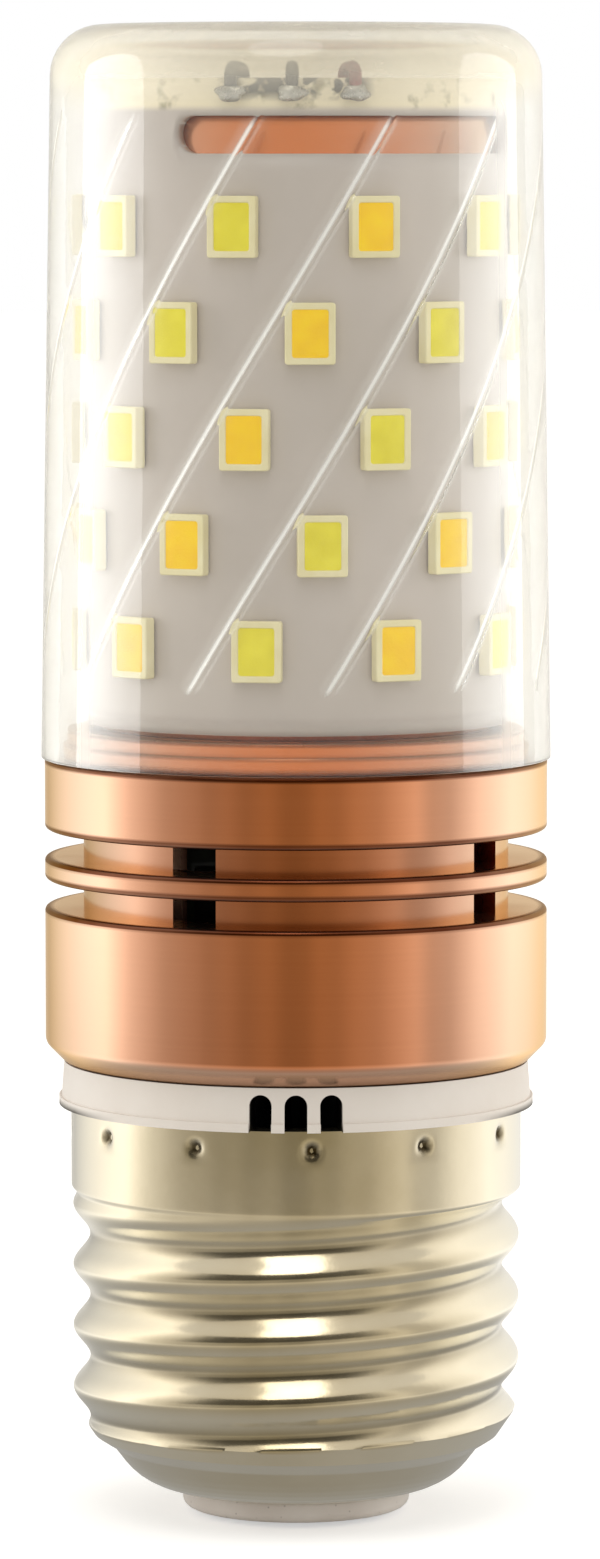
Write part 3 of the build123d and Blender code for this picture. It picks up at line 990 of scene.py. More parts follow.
@dataclass
class ClearCover:
    """Clear cup with twisted grooves in its inner wall, in millimetres and degrees."""

    wall: float = 1.0
    draw_in: float = 0.65
    corner: float = 3.0
    corner_steps: int = 9
    grooves: int = 11
    groove_width: float = 0.5
    groove_depth: float = 0.06
    groove_twist: float = 2.5
    groove_angle: float = -57.8
    groove_foot: float = 2.7
    groove_head: float = 4.3
    groove_fade: float = 0.5
    edge_width: float = 0.15
    far_edge: float = 0.25
    row_spacing: float = 0.5
    near_share: float = 1.8
    near_columns: int = 21
    gap_columns: int = 12

    def build(self) -> None:
        """Make the cup.

        Its section is carried round the axis. On the inner wall each column turns with height, so that the
        columns follow the grooves, and the radius grows there by the groove's depth, a squared cosine across
        it. The groove's two edges are frosted by a bell curve each, the far one less.
        """
        cup = Extent.of("clear_cover")
        ceiling = cup.top - self.wall
        first = Extent.of("heat_sink").top + self.groove_foot
        last = ceiling - self.groove_head
        head = cup.radius - self.draw_in
        rows = [
            (0, ceiling, 0),
            (head - self.wall, ceiling, self.corner - self.wall),
            (cup.radius - self.wall, cup.bottom, 0),
            (cup.radius, cup.bottom, 0),
            (head, cup.top, self.corner),
            (0, cup.top, 0),
        ]
        path = refined(section(rows, self.corner_steps), self.row_spacing)
        foot = np.argmin(np.linalg.norm(path - np.array(rows[2][:2]), axis=1))
        inside = (np.arange(len(path)) <= foot)[:, None]
        radius, height = path[:, :1], path[:, 1:]
        columns, nearest = self._columns(cup.radius - self.wall)
        turned = np.radians(self.groove_twist) * (np.clip(height, first, last) - first)
        angle = columns + np.radians(self.groove_angle) + np.where(inside, turned, 0)
        ends = smooth_step(first, first + self.groove_fade, height)
        ends = ends * smooth_step(-last, self.groove_fade - last, -height)
        across = np.cos(np.clip(nearest / self.groove_width, -0.5, 0.5) * math.pi) ** 2
        deeper = self.groove_depth * across * ends * inside
        sides = [np.exp(-(((nearest + s * self.groove_width / 2) / self.edge_width) ** 2)) for s in (1, -1)]
        surface = Surface.grid(on_axis(radius + deeper, angle, height))
        surface.hollow = np.maximum(sides[0], sides[1] * self.far_edge) * ends * inside
        make_piece("cover_cup", surface, Slot.COVER, "clear_cover")

    def _columns(self, radius: float) -> tuple[np.ndarray, np.ndarray]:
        """Space the columns closely over each groove and widely between.

        Args:
            radius: Radius at which the groove's width is measured.

        Returns:
            Angle of each column in radians, and its distance from its groove's middle.
        """
        pitch = TURN * radius / self.grooves
        near = np.linspace(-self.near_share, self.near_share, self.near_columns) * self.groove_width / 2
        gap = np.linspace(near[-1], pitch + near[0], self.gap_columns)[1:-1]
        across = np.concatenate([near, gap])
        angles = np.arange(self.grooves)[:, None] * pitch + across
        return angles.ravel() / radius, np.tile(across, self.grooves)


@dataclass
class HeatSink:
    """Turned body with two grooves, a fin, windows and a spigot, in millimetres and degrees."""

    lower_ring: float = 9.1
    groove: float = 1.65
    fin: float = 1.3
    upper_ring: float = 4.2
    foot_bevel: float = 1.15
    foot_round: float = 0.7
    edge: float = 0.26
    edge_fade: float = 0.416
    shelf_fade: float = 0.572
    bore: float = 11.075
    groove_wall: float = 1.4
    groove_dull_and_shade: float = 0.35
    spigot_radius: float = 13.65
    spigot_step: float = 0.25
    spigot_step_height: float = 0.8
    spigot_dull_and_shade: float = 0.38
    seat_step: float = 0.45
    seat_depth: float = 3.0
    windows: int = 4
    window_width: float = 2.8
    window_angle: float = -28.0
    columns: int = 240
    corner_steps: int = 4
    crease: float = 50.0

    def build(self) -> None:
        """Make the body.

        A closed section is carried round the axis. Over a window the groove's wall is left out: there the
        rings close with flat faces from the groove to the bore, and two side faces close the wall's ends.
        """
        body = Extent.of("heat_sink")
        rings = [0, self.lower_ring, self.groove, self.fin, self.groove, self.upper_ring]
        heights = body.bottom + np.cumsum(rings)
        path, dull_and_shade = self._section(body, heights)
        outer = self.bore + self.groove_wall
        angles, is_open = self._columns(outer)
        count = len(angles)
        first_sides = np.flatnonzero(is_open & ~np.roll(is_open, 1))[:, None]
        last_sides = np.flatnonzero(~is_open & np.roll(is_open, 1))[:, None]
        walls = set()
        faces = []
        for low, high in (heights[1:3], heights[3:5]):
            corners = [(outer, low), (outer, high), (self.bore, high), (self.bore, low)]
            ring = np.array([np.abs(path - np.array(corner)).sum(axis=1).argmin() for corner in corners])
            walls |= {ring[0], ring[2]}
            faces += [
                self._strip(ring[0], ring[3], is_open),
                self._strip(ring[2], ring[1], is_open),
                ring * count + first_sides,
                ring[::-1] * count + last_sides,
            ]
        for row in range(len(path)):
            chosen = ~is_open if row in walls else np.ones(count, bool)
            faces.append(self._strip(row, (row + 1) % len(path), chosen))
        points = on_axis(path[:, :1], angles, path[:, 1:]).reshape(-1, 3)
        surface = Surface(points, np.concatenate(faces), np.repeat(dull_and_shade, count))
        make_piece("heat_sink_body", surface, Slot.COPPER, "heat_sink", self.crease)

    @staticmethod
    def _strip(low: int, high: int, chosen: np.ndarray) -> np.ndarray:
        """Join two rows of points over the chosen columns.

        Args:
            low: Number of the first row.
            high: Number of the second row.
            chosen: Whether each column is joined to the next one.

        Returns:
            Point numbers of the faces.
        """
        count = len(chosen)
        here = np.flatnonzero(chosen)
        ahead = (here + 1) % count
        first, second = low * count, high * count
        return np.stack([first + here, first + ahead, second + ahead, second + here], axis=1)

    def _section(self, body: Extent, z: np.ndarray) -> tuple[np.ndarray, np.ndarray]:
        """Trace the closed section, upwards outside and downwards inside.

        Args:
            body: The node's extent.
            z: Heights of the rings and grooves.

        Returns:
            Points of radius and height, and how dulled the metal is at each, which also sets its painted
            shade.
        """
        reach, hollow, edge = body.radius, self.bore + self.groove_wall, self.edge
        spigot, neck = self.spigot_radius, self.spigot_radius - self.spigot_step
        step = body.top - self.spigot_step_height
        seat, ledge = self.bore + self.seat_step, body.top - self.seat_depth
        shelf = reach - self.shelf_fade
        # Each row is radius, height, corner radius and dullness; the dullness also paints shade: dark lines
        # along the edges, shade in the grooves and on the spigot, and a shadow on the seat under the board's
        # end
        rows = [
            (self.bore, z[0], 0, 1),
            (reach - self.foot_bevel, z[0], self.foot_round, 0.7),
            (reach, z[0] + self.foot_bevel, self.foot_round, 0.12),
        ]
        for low, high in (z[1:3], z[3:5]):
            rows += [
                (reach, low - self.edge_fade, 0, 0),
                (reach, low - edge, 0, 0.45),
                (reach, low, 0.9 * edge, 1),
                (shelf, low, 0, self.groove_dull_and_shade),
                (hollow, low, 0, self.groove_dull_and_shade),
                (hollow, high, 0, self.groove_dull_and_shade),
                (shelf, high, 0, 0.5),
                (reach, high, edge, 0.9),
                (reach, high + self.edge_fade, 0, 0),
            ]
        rows += [
            (reach, z[5] - self.edge_fade, 0, 0),
            (reach, z[5], edge, 1),
            (spigot, z[5], 0, 1),
            (spigot, z[5] + self.edge_fade, 0, self.spigot_dull_and_shade),
            (spigot, step - edge, 0, self.spigot_dull_and_shade),
            (spigot, step, edge / 2, 0.6),
            (neck, step, 0, 0.6),
            (neck, step + edge, 0, self.spigot_dull_and_shade),
            (neck, body.top - edge, 0, self.spigot_dull_and_shade),
            (neck, body.top, edge / 2, 0.8),
            (seat, body.top, 0, 1),
            (seat, ledge, 0, 0),
            (self.bore, ledge, 0, 1),
            *[(self.bore, z[k], 0, 1) for k in (4, 3, 2, 1)],
        ]
        copies = [self.corner_steps + 1 if row[2] > 0 else 1 for row in rows]
        return section(rows, self.corner_steps), np.repeat([row[3] for row in rows], copies)

    def _columns(self, radius: float) -> tuple[np.ndarray, np.ndarray]:
        """Space the columns evenly, with one at each window's side.

        Args:
            radius: Radius at which the window's width is measured.

        Returns:
            Angle of each column, and whether a window lies between it and the next one.
        """
        half = math.asin(self.window_width / 2 / radius)
        middles = np.radians(self.window_angle) + np.arange(self.windows) * TURN / self.windows
        sides = np.concatenate([middles - half, middles + half]) % TURN
        even = np.linspace(0, TURN, self.columns, endpoint=False)
        clear = self._nearest(even, sides) > TURN / self.columns / 3
        angles = np.sort(np.concatenate([even[clear], sides]))
        between = (angles + np.append(angles[1:], angles[0] + TURN)) / 2
        return angles, self._nearest(between, middles) < half

    @staticmethod
    def _nearest(angles: np.ndarray, others: np.ndarray) -> np.ndarray:
        """Measure how far each angle is from the nearest of others, the short way round."""
        return np.abs((angles[:, None] - others + math.pi) % TURN - math.pi).min(axis=1)


@dataclass
class LedBoard:
    """Rolled circuit board with a slot near its top, and the sleeve behind it, in millimetres and degrees."""

    radius: float = 12.325
    thickness: float = 0.8
    seam_gap: float = 0.5
    seam_angle: float = 176.1
    lean: float = -0.2573
    slot_height: float = 2.15
    slot_drop: float = 3.2
    slot_start: float = -28.0
    slot_sweep: float = 104.0
    slots: int = 2
    columns: int = 200
    low_rows: int = 30
    high_rows: int = 5
    end_columns: int = 9
    sleeve_wall: float = 0.75
    sleeve_edge: float = 0.1
    sleeve_dull_and_shade: float = 0.3

    def build(self) -> None:
        """Make the board and the sleeve."""
        self._board()
        self._sleeve()

    def _board(self) -> None:
        """Make the board.

        Its outer face is two sheets over angle and height. They meet along the slot's middle height, and
        part over a slot by half its height, which shrinks as a circle does at the slot's round ends.
        """
        board = Extent.of("led_board")
        level = board.top - self.slot_drop
        angles = self._columns(level - (board.bottom + board.top) / 2)
        half = self._half_opening(angles)
        sheets = [
            self._sheet(angles, board.bottom, level - half, self.low_rows, level),
            self._sheet(angles, level + half, board.top, self.high_rows, level),
        ]
        piece = make_piece("led_board_tube", Surface.joined(sheets), Slot.BOARD, "led_board")
        wall = piece.modifiers.new("thickness", "SOLIDIFY")
        wall.thickness = self.thickness * MM
        wall.offset = -1.0

    def _sleeve(self) -> None:
        """Make the sleeve: a plain tube with its edges rounded."""
        sleeve = Extent.of("carrier_sleeve")
        inner, outer, edge = sleeve.radius - self.sleeve_wall, sleeve.radius, self.sleeve_edge
        rows = [
            (inner, sleeve.bottom, edge),
            (outer, sleeve.bottom, edge),
            (outer, sleeve.top, edge),
            (inner, sleeve.top, edge),
        ]
        surface = Surface.turned(section(rows, steps=2))
        # Painted shade: the sleeve behind the board is evenly rougher and darker
        surface.hollow = np.full(len(surface.points), self.sleeve_dull_and_shade)
        make_piece("carrier_tube", surface, Slot.COPPER, "carrier_sleeve")

    def _columns(self, rise: float) -> np.ndarray:
        """Space the columns from one side of the seam round to the other, closer at the slots' ends.

        Args:
            rise: Height of the slot above the board's middle.

        Returns:
            Angle of each column at the slot's height, in radians.
        """
        seam = math.radians(self.seam_angle + self.lean * rise)
        gap = self.seam_gap / 2 / self.radius
        even = np.linspace(seam - TURN + gap, seam - gap, self.columns)
        starts = math.radians(self.slot_start) + np.arange(-self.slots, self.slots + 1) * TURN / self.slots
        quarter = np.linspace(0, math.pi / 2, self.end_columns)
        arc = self.slot_height / 2 / self.radius * np.cos(quarter)
        stops = starts + math.radians(self.slot_sweep)
        close = np.concatenate([(starts[:, None] - arc).ravel(), (stops[:, None] + arc).ravel()])
        close = close[(close > even[0]) & (close < even[-1])]
        return np.unique(np.concatenate([even, close]))

    def _half_opening(self, angles: np.ndarray) -> np.ndarray:
        """Measure half the slot's height: level along it, and a half circle at its ends.

        Args:
            angles: Angle of each column.

        Returns:
            Half the height at each column, 0 where there is no slot.
        """
        turn = 360 / self.slots
        offset = (np.degrees(angles) - self.slot_start - self.slot_sweep / 2 + turn / 2) % turn - turn / 2
        past = np.radians(np.maximum(np.abs(offset) - self.slot_sweep / 2, 0)) * self.radius
        return np.sqrt(np.maximum((self.slot_height / 2) ** 2 - past**2, 0))

    def _sheet(self, angles: np.ndarray, bottom: Numbers, top: Numbers, rows: int, level: float) -> Surface:
        """Make one sheet of the outer face between two edges.

        Args:
            angles: Angle of each column at the slot's height.
            bottom: Height of the lower edge at each column.
            top: Height of the upper edge at each column.
            rows: Spans between the edges.
            level: The slot's height.

        Returns:
            The sheet, which leans with height as the rows of LEDs do.
        """
        share = np.linspace(0, 1, rows + 1)[:, None]
        height = bottom + (top - bottom) * share + 0 * angles
        turned = angles + np.radians(self.lean) * (height - level)
        return Surface.grid(on_axis(np.array(self.radius), turned, height), wrap_columns=False)


class LedColour(Enum):
    """The two kinds of LED, each with the slot of its phosphor."""

    WARM = Slot.WARM
    COOL = Slot.COOL


@dataclass
class Leds:
    """Packages and phosphors of the LEDs, in millimetres and degrees."""

    seat_radius: float = 12.375
    width: float = 2.8
    length: float = 3.5
    height: float = 0.65
    rim: float = 0.38
    pocket: float = 0.2
    corner: float = 0.16
    corner_steps: int = 4
    edge: float = 0.05
    gap: float = 0.005
    bulge: float = 0.05
    bulge_inset: float = 0.35
    bulge_share: float = 0.8
    rows: int = 5
    per_row: int = 10
    first_angle: float = 2.0
    row_skew: float = 1.55
    top_margin: float = 8.4
    bottom_margin: float = 4.85
    crease: float = 30.0

    def build(self) -> None:
        """Make one piece of packages and one of phosphors for each colour."""
        for colour in LedColour:
            places = self._places(colour)
            name = colour.name.lower()
            cases = self._copies(self._package(), *places)
            make_piece(f"{name}_led_cases", cases, Slot.PACKAGE, f"{name}_led_packages", self.crease)
            gel = self._copies(self._phosphor(), *places)
            make_piece(f"{name}_led_gel", gel, colour.value, f"{name}_led_phosphors", self.crease)

    def _places(self, colour: LedColour) -> tuple[np.ndarray, np.ndarray]:
        """Find the LEDs of one colour: staggered rows, warm and cool by turns.

        Args:
            colour: Which LEDs.

        Returns:
            Angle and height of each one.
        """
        board = Extent.of("led_board")
        pitch = (board.top - board.bottom - self.top_margin - self.bottom_margin) / (self.rows - 1)
        row, column = np.meshgrid(np.arange(self.rows), np.arange(self.per_row), indexing="ij")
        half_steps = 2 * column + (row + 1) % 2
        angles = self.first_angle + self.row_skew * row + 180 / self.per_row * half_steps
        heights = board.top - self.top_margin - pitch * row
        chosen = ((half_steps + row - 1) % 4 == 0) == (colour is LedColour.WARM)
        return np.radians(angles[chosen]), heights[chosen]

    def _loop(self, inset: float, out: float) -> np.ndarray:
        """Trace a round-cornered rectangle.

        Args:
            inset: How far it is set in from the package's edge.
            out: How far it lies out from the seat.

        Returns:
            Points across, out from the axis and up.
        """
        wide, tall = self.width / 2 - inset, self.length / 2 - inset
        corners = [(wide, -tall), (wide, tall), (-wide, tall), (-wide, -tall)]
        flat = rounded(corners, [self.corner] * len(corners), self.corner_steps)
        return np.column_stack([flat[:, 0], np.full(len(flat), self.seat_radius + out), flat[:, 1]])

    def _package(self) -> np.ndarray:
        """Stack the package's loops: sides, rim, pocket wall and floor.

        Returns:
            The closed stack.
        """
        top, floor, edge = self.height, self.height - self.pocket, self.edge
        levels = [
            (edge, 0), (0, edge), (0, top - edge), (edge, top),
            (self.rim - edge, top), (self.rim, top - edge), (self.rim, floor),
        ]
        return self._capped(levels)

    def _phosphor(self) -> np.ndarray:
        """Stack the fill's loops, from the pocket's floor to a gently crowned face.

        Returns:
            The closed stack.
        """
        floor, top = self.height - self.pocket + self.gap, self.height - self.bulge
        inset = self.rim + self.gap
        crown = (inset + self.bulge_inset, top + self.bulge * self.bulge_share)
        return self._capped([(inset, floor), (inset, top), crown], self.bulge * (1 - self.bulge_share))

    def _capped(self, levels: Sequence[tuple[float, float]], crown: float = 0.0) -> np.ndarray:
        """Stack loops and close them at both ends with their middle points.

        Args:
            levels: Inset and distance out of each loop.
            crown: How far the last middle point stands out from its loop.

        Returns:
            The closed stack.
        """
        loops = [self._loop(*level) for level in levels]
        first, last = (np.broadcast_to(loop.mean(axis=0), loop.shape) for loop in (loops[0], loops[-1]))
        return np.stack([first, *loops, last + np.array([0, crown, 0])])

    @staticmethod
    def _copies(stack: np.ndarray, angles: np.ndarray, heights: np.ndarray) -> Surface:
        """Set a stack of loops at every place: turned about the axis by the angle, and raised.

        Args:
            stack: Loops of points across, out from the axis and up.
            angles: Angle of each copy.
            heights: Height of each copy.

        Returns:
            All the copies as one surface.
        """
        across, out, up = (stack[..., k] for k in range(3))
        points = facing_out(across, out, up + heights[:, None, None], angles[:, None, None])
        return Surface.joined([Surface.grid(copy) for copy in points])


@dataclass
class ScrewCap:
    """Plated shell with its thread and crimps, insulator and contact, in millimetres and degrees."""

    pitch: float = 3.629
    depth: float = 1.0
    crest: float = 13.15
    thread_height: float = 14.4
    thread_fade: float = 1.9
    start_angle: float = -3.0
    valley_dull_and_shade: float = 0.35
    valley_power: float = 6.0
    wall: float = 0.35
    hole: float = 5.8
    bowl_height: float = 3.1
    bowl_step: float = 1.1
    bowl_step_height: float = 0.7
    bowl_draw_in: float = 1.85
    bowl_round: float = 4.0
    bowl_steps: int = 7
    bowl_dull_and_shade: float = 0.2
    shoulder_round: float = 0.5
    foot_set_in: float = 0.2
    foot_rise: float = 0.3
    foot_round: float = 0.3
    band_bevel: float = 0.4
    band_ease: float = 0.25
    crimps: int = 12
    crimp_angle: float = 4.0
    crimp_drop: float = 1.1
    crimp_depth: float = 0.4
    crimp_radius: float = 0.34
    crimp_dull_and_shade: float = 1.8
    flare_depth: float = 0.12
    flare_length: float = 1.1
    flare_start: float = 0.8
    flare_growth: float = 1.6
    flare_ease: float = 0.1
    columns: int = 360
    row_spacing: float = 0.15
    inner_spacing: float = 1.5
    shell_crease: float = 60.0
    fit: float = 0.05
    flange: float = 0.7
    recess_gap: float = 0.1
    head_height: float = 0.55
    shank: float = 0.9
    upset: float = 1.7
    upset_height: float = 0.5

    def build(self) -> None:
        """Make the shell, the insulator and the contact."""
        self._shell()
        self._insulator()
        self._contact()

    def _shell(self) -> None:
        """Make the shell.

        Its section is carried round the axis. In the thread the radius is the root's plus the depth times
        half of one plus the cosine of the turn, where the turn is the height in pitches less the angle. It
        is held under a cone at the foot and eases into the plain band at the top.
        """
        shell = Extent.of("screw_shell")
        thread = shell.bottom + self.bowl_height
        band = thread + self.thread_height
        root, edge, wall = self.crest - self.depth, shell.radius, self.wall
        foot = root - self.foot_set_in
        shoulder = foot - self.bowl_step
        floor = shoulder - self.bowl_draw_in
        step = thread - self.bowl_step_height
        outside = [
            (self.hole, shell.bottom, 0),
            (floor, shell.bottom, self.bowl_round),
            (shoulder, step, self.shoulder_round),
            (foot, thread, self.foot_round),
            (root, thread + self.foot_rise, 0),
            (root, band, 0),
            (edge, band + self.band_bevel, 0),
            (edge, shell.top, 0),
        ]
        inside = [
            (edge - wall, shell.top, 0),
            (edge - wall, band + wall + self.band_bevel, 0),
            (root - wall, band + wall, 0),
            (root - wall, thread + wall, 0),
            (shoulder - wall, step + wall, 0),
            (floor - wall, shell.bottom + wall, self.bowl_round - wall),
            (self.hole, shell.bottom + wall, 0),
        ]
        outer_path = refined(section(outside, self.bowl_steps), self.row_spacing)
        path = np.concatenate([outer_path, refined(section(inside), self.inner_spacing)])
        outer = (np.arange(len(path)) < len(outer_path))[:, None]
        angle = np.linspace(0, TURN, self.columns, endpoint=False)[None]
        radius, height = path[:, :1] + 0 * angle, path[:, 1:] + 0 * angle
        turn = (height - thread) / self.pitch * TURN - angle + math.radians(self.start_angle)
        wave = (1 + np.cos(turn)) / 2
        cone = foot + (height - thread) * (edge - foot) / self.thread_fade
        threaded = root + self.depth * wave
        threaded = np.where(height < band, np.minimum(threaded, np.maximum(cone, foot)), threaded)
        share = smooth_step(band - self.band_ease, band + self.band_bevel, height)
        threaded = threaded + (edge - threaded) * share
        in_thread = outer & (height >= thread) & (height < band + self.band_bevel)
        crimp = self._crimp(angle, height, shell) * outer
        radius = np.where(in_thread, np.maximum(threaded, foot), radius) - crimp
        # The dullness also paints shade: dark lines along the thread's roots, a darker bowl and dark crimp
        # pits
        valley = self.valley_dull_and_shade * (1 - wave) ** self.valley_power * (1 - share)
        dull_and_shade = np.where(in_thread, valley, 0) + np.where(height < thread, self.bowl_dull_and_shade, 0)
        surface = Surface.grid(on_axis(radius, angle, height), wrap_rows=True)
        surface.hollow = np.clip(dull_and_shade + self.crimp_dull_and_shade * crimp / self.crimp_depth, 0, 1)
        make_piece("screw_cap_shell", surface, Slot.NICKEL, "screw_shell", self.shell_crease)

    def _crimp(self, angle: np.ndarray, height: np.ndarray, shell: Extent) -> np.ndarray:
        """Work out the punch marks that hold the collar: round pits, bell curves, each with a flare below it.

        Args:
            angle: Angle of each point.
            height: Height of each point.
            shell: The shell's extent.

        Returns:
            Depth at each point.
        """
        apart = TURN / self.crimps
        offset = (angle - math.radians(self.crimp_angle) + apart / 2) % apart - apart / 2
        across = offset * shell.radius
        below = shell.top - self.crimp_drop - height
        pit = self.crimp_depth * np.exp(-(across**2 + below**2) / self.crimp_radius**2)
        along = np.clip(below / self.flare_length, 0, 1)
        width = self.crimp_radius * (self.flare_start + self.flare_growth * along)
        flare = self.flare_depth * np.exp(-((across / width) ** 2)) * smooth_step(0, self.flare_ease, along)
        return np.minimum(pit + flare * (1 - along), self.crimp_depth)

    def _insulator(self) -> None:
        """Make the insulator: a disc with a recess below, a neck through the cap and a flange inside."""
        disc = Extent.of("contact_insulator")
        shell = Extent.of("screw_shell")
        under, shelf = shell.bottom - self.fit, shell.bottom + self.wall + self.fit
        neck, flange = self.hole - self.fit, self.hole + self.flange
        bore = self.shank + self.fit
        recess = Extent.of("centre_contact").radius + self.recess_gap
        rows = [
            (bore, self.head_height, 0),
            (recess, self.head_height, 0.1),
            (recess, disc.bottom, 0.12),
            (disc.radius, disc.bottom, 0.5),
            (disc.radius, under, 0.2),
            (neck, under, 0),
            (neck, shelf, 0),
            (flange, shelf, 0.1),
            (flange, disc.top, 0.1),
            (bore, disc.top, 0),
        ]
        make_piece("insulator_disc", Surface.turned(section(rows)), Slot.INSULATOR, "contact_insulator")

    def _contact(self) -> None:
        """Make the contact: a wide flat head with a rolled edge, a shank and an upset end."""
        contact = Extent.of("centre_contact")
        upset_foot = contact.top - self.upset_height
        rows = [
            (0, contact.bottom, 0),
            (contact.radius, contact.bottom, 0.22),
            (contact.radius, self.head_height, 0.1),
            (self.shank, self.head_height, 0),
            (self.shank, upset_foot, 0),
            (self.upset, upset_foot, 0.1),
            (self.upset, contact.top, 0.2),
            (0, contact.top, 0),
        ]
        surface = Surface.turned(section(rows), closed=False)
        make_piece("contact_rivet", surface, Slot.CONTACT, "centre_contact")


@dataclass
class Wires:
    """Leads and their joints at the board's top rim, in millimetres and degrees."""

    radius: float = 0.35
    inner: float = 10.325
    outer: float = 12.725
    arch: float = 84.85
    arch_radius: float = 0.6
    bend: float = 3.0
    bend_steps: int = 10
    spacing: float = 1.0
    stand_off: float = 1.0
    foot: float = 45.7
    rise: float = 55.2
    tail: float = 83.65
    warm_angle: float = -16.5
    cool_angle: float = -1.0
    common_angle: float = 15.0
    window_angle: float = 62.0
    common_foot: float = 7.5
    common_heights: tuple[float, float, float, float] = (32.35, 34.95, 46.9, 65.575)
    aside_tilt: float = 0.05
    seat: float = 12.375
    joint_width: float = 1.7
    joint_height: float = 1.0
    joint_depth: float = 0.85
    joint_drop: float = 0.25
    joint_ripples: tuple[tuple[float, float, float], ...] = ((3.0, 0.1, 1.7), (5.0, 0.06, 1.0))
    joint_grid: tuple[int, int] = (17, 28)
    joint_crease: float = 70.0

    def build(self) -> None:
        """Make the three leads over the rim and their joints."""
        self._lead("warm_lead", self.warm_angle, "warm_wire")
        self._lead("cool_lead", self.cool_angle, "cool_wire")
        self._common()
        self._joints()

    def _rim(self, angle: float) -> tuple[np.ndarray, list[np.ndarray]]:
        """Find a lead's way over the rim.

        Args:
            angle: Angle from the front.

        Returns:
            Place of the lead inside the sleeve, and the corners of its arch.
        """
        way = np.array([math.sin(math.radians(angle)), -math.cos(math.radians(angle))])
        inner, outer = self.inner * way, self.outer * way
        return inner, [np.append(inner, self.arch), np.append(outer, self.arch), np.append(outer, self.tail)]

    def _tube(
        self, name: str, corners: list, bends: list[float], angle: float, slot: Slot, node: str
    ) -> None:
        """Carry the wire's round section along a route that ends with the arch.

        Args:
            name: The piece's name.
            corners: Corners of the route.
            bends: Radius of each bend before the arch.
            angle: Angle of the arch from the front.
            slot: The slot whose finish it wears.
            node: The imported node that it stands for.
        """
        radii = [0, *bends, self.arch_radius, self.arch_radius, 0]
        path = refined(rounded(corners, radii, self.bend_steps), self.spacing)
        turn = math.radians(angle)
        aside = np.array([math.cos(turn), math.sin(turn), self.aside_tilt])
        make_piece(name, Surface.tube(path, self.radius, aside), slot, node)

    def _lead(self, name: str, angle: float, node: str) -> None:
        """Make a black lead from the driver's top, up inside the sleeve and over the rim.

        Args:
            name: The piece's name.
            angle: Angle of its arch from the front.
            node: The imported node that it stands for.
        """
        inner, arch = self._rim(angle)
        corners = [(inner[0], -self.stand_off, self.foot), (*inner, self.rise), *arch]
        self._tube(name, corners, [self.bend], angle, Slot.BLACK, node)

    def _common(self) -> None:
        """Make the red lead that passes behind the body's windows."""
        inner, arch = self._rim(self.common_angle)
        behind, _ = self._rim(self.window_angle)
        start, low, high, middle = self.common_heights
        foot = (self.common_foot, -self.stand_off, start)
        corners = [foot, (*behind, low), (*behind, high), (*inner, middle), *arch]
        bends = [self.bend / 2, self.bend, self.bend]
        self._tube("common_lead", corners, bends, self.common_angle, Slot.RED, "common_wire")

    def _joints(self) -> None:
        """Make the joints: lumps on the board's face, each an ellipsoid with a rippled outline."""
        rows, columns = self.joint_grid
        up = np.linspace(0, math.pi, rows)[:, None]
        about = np.linspace(0, TURN, columns, endpoint=False)[None]
        lumps = []
        for index, angle in enumerate((self.warm_angle, self.cool_angle, self.common_angle)):
            waves = [size * np.sin(n * about + shift * index) for n, size, shift in self.joint_ripples]
            swell = np.sin(up) * (1 + sum(waves))
            across = swell * np.cos(about) * self.joint_width / 2
            high = swell * np.sin(about) * self.joint_height / 2 + self.tail - self.joint_drop
            out = self.seat + (1 - np.cos(up)) / 2 * self.joint_depth
            lumps.append(Surface.grid(facing_out(across, out, high, math.radians(angle))))
        make_piece("rim_joints", Surface.joined(lumps), Slot.SOLDER, "solder_joints", self.joint_crease)


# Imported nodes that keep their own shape
DRESSED_NODES: dict[str, Slot] = {
    "base_collar": Slot.COLLAR,
    "driver_board": Slot.LAMINATE,
    "bulk_capacitors": Slot.CAN,
    "film_capacitor": Slot.FILM,
    "bridge_rectifier": Slot.CHIP,
    "driver_chips": Slot.CHIP,
    "chokes": Slot.FERRITE,
    "fuse_resistor": Slot.RESISTOR,
    "chip_resistors": Slot.CHIP,
    "live_wire": Slot.RED,
    "neutral_wire": Slot.WHITE,
}


# Studio
@dataclass(frozen=True)
class SoftBox:
    """A large soft light.

    Attributes:
        name: Its name.
        azimuth: Angle from the front towards +X, in degrees.
        distance: Distance from the axis, in metres.
        height: Height of its middle, in metres.
        width: Its width, in metres.
        tall: Its height, in metres.
        radiance: Brightness of its face.
        in_gloss: Whether shiny surfaces mirror it.
        only: Name of the one piece that it lights, or none for all.
    """

    name: str
    azimuth: float
    distance: float
    height: float
    width: float
    tall: float
    radiance: float
    in_gloss: bool = False
    only: Optional[str] = None

    def build(self, aim: Vector) -> None:
        """Set up the light. Clear plastic shows it only if gloss does and it lights every piece.

        Args:
            aim: The point that it faces.
        """
        lamp = bpy.data.lights.new(self.name, "AREA")
        lamp.shape = "ELLIPSE"
        lamp.size, lamp.size_y = self.width, self.tall
        lamp.energy = self.radiance * math.pi * self.width * self.tall * math.pi / 4
        stand = put_in_scene(self.name, lamp)
        turn = math.radians(self.azimuth)
        stand.location = (self.distance * math.sin(turn), -self.distance * math.cos(turn), self.height)
        stand.rotation_euler = (aim - stand.location).to_track_quat("-Z", "Y").to_euler()
        stand.visible_camera = False
        stand.visible_glossy = self.in_gloss
        stand.visible_transmission = self.in_gloss and not self.only
        if self.only:
            lit = bpy.data.collections.new(self.name + "_lights")
            lit.objects.link(bpy.data.objects[self.only])
            stand.light_linking.receiver_collection = lit


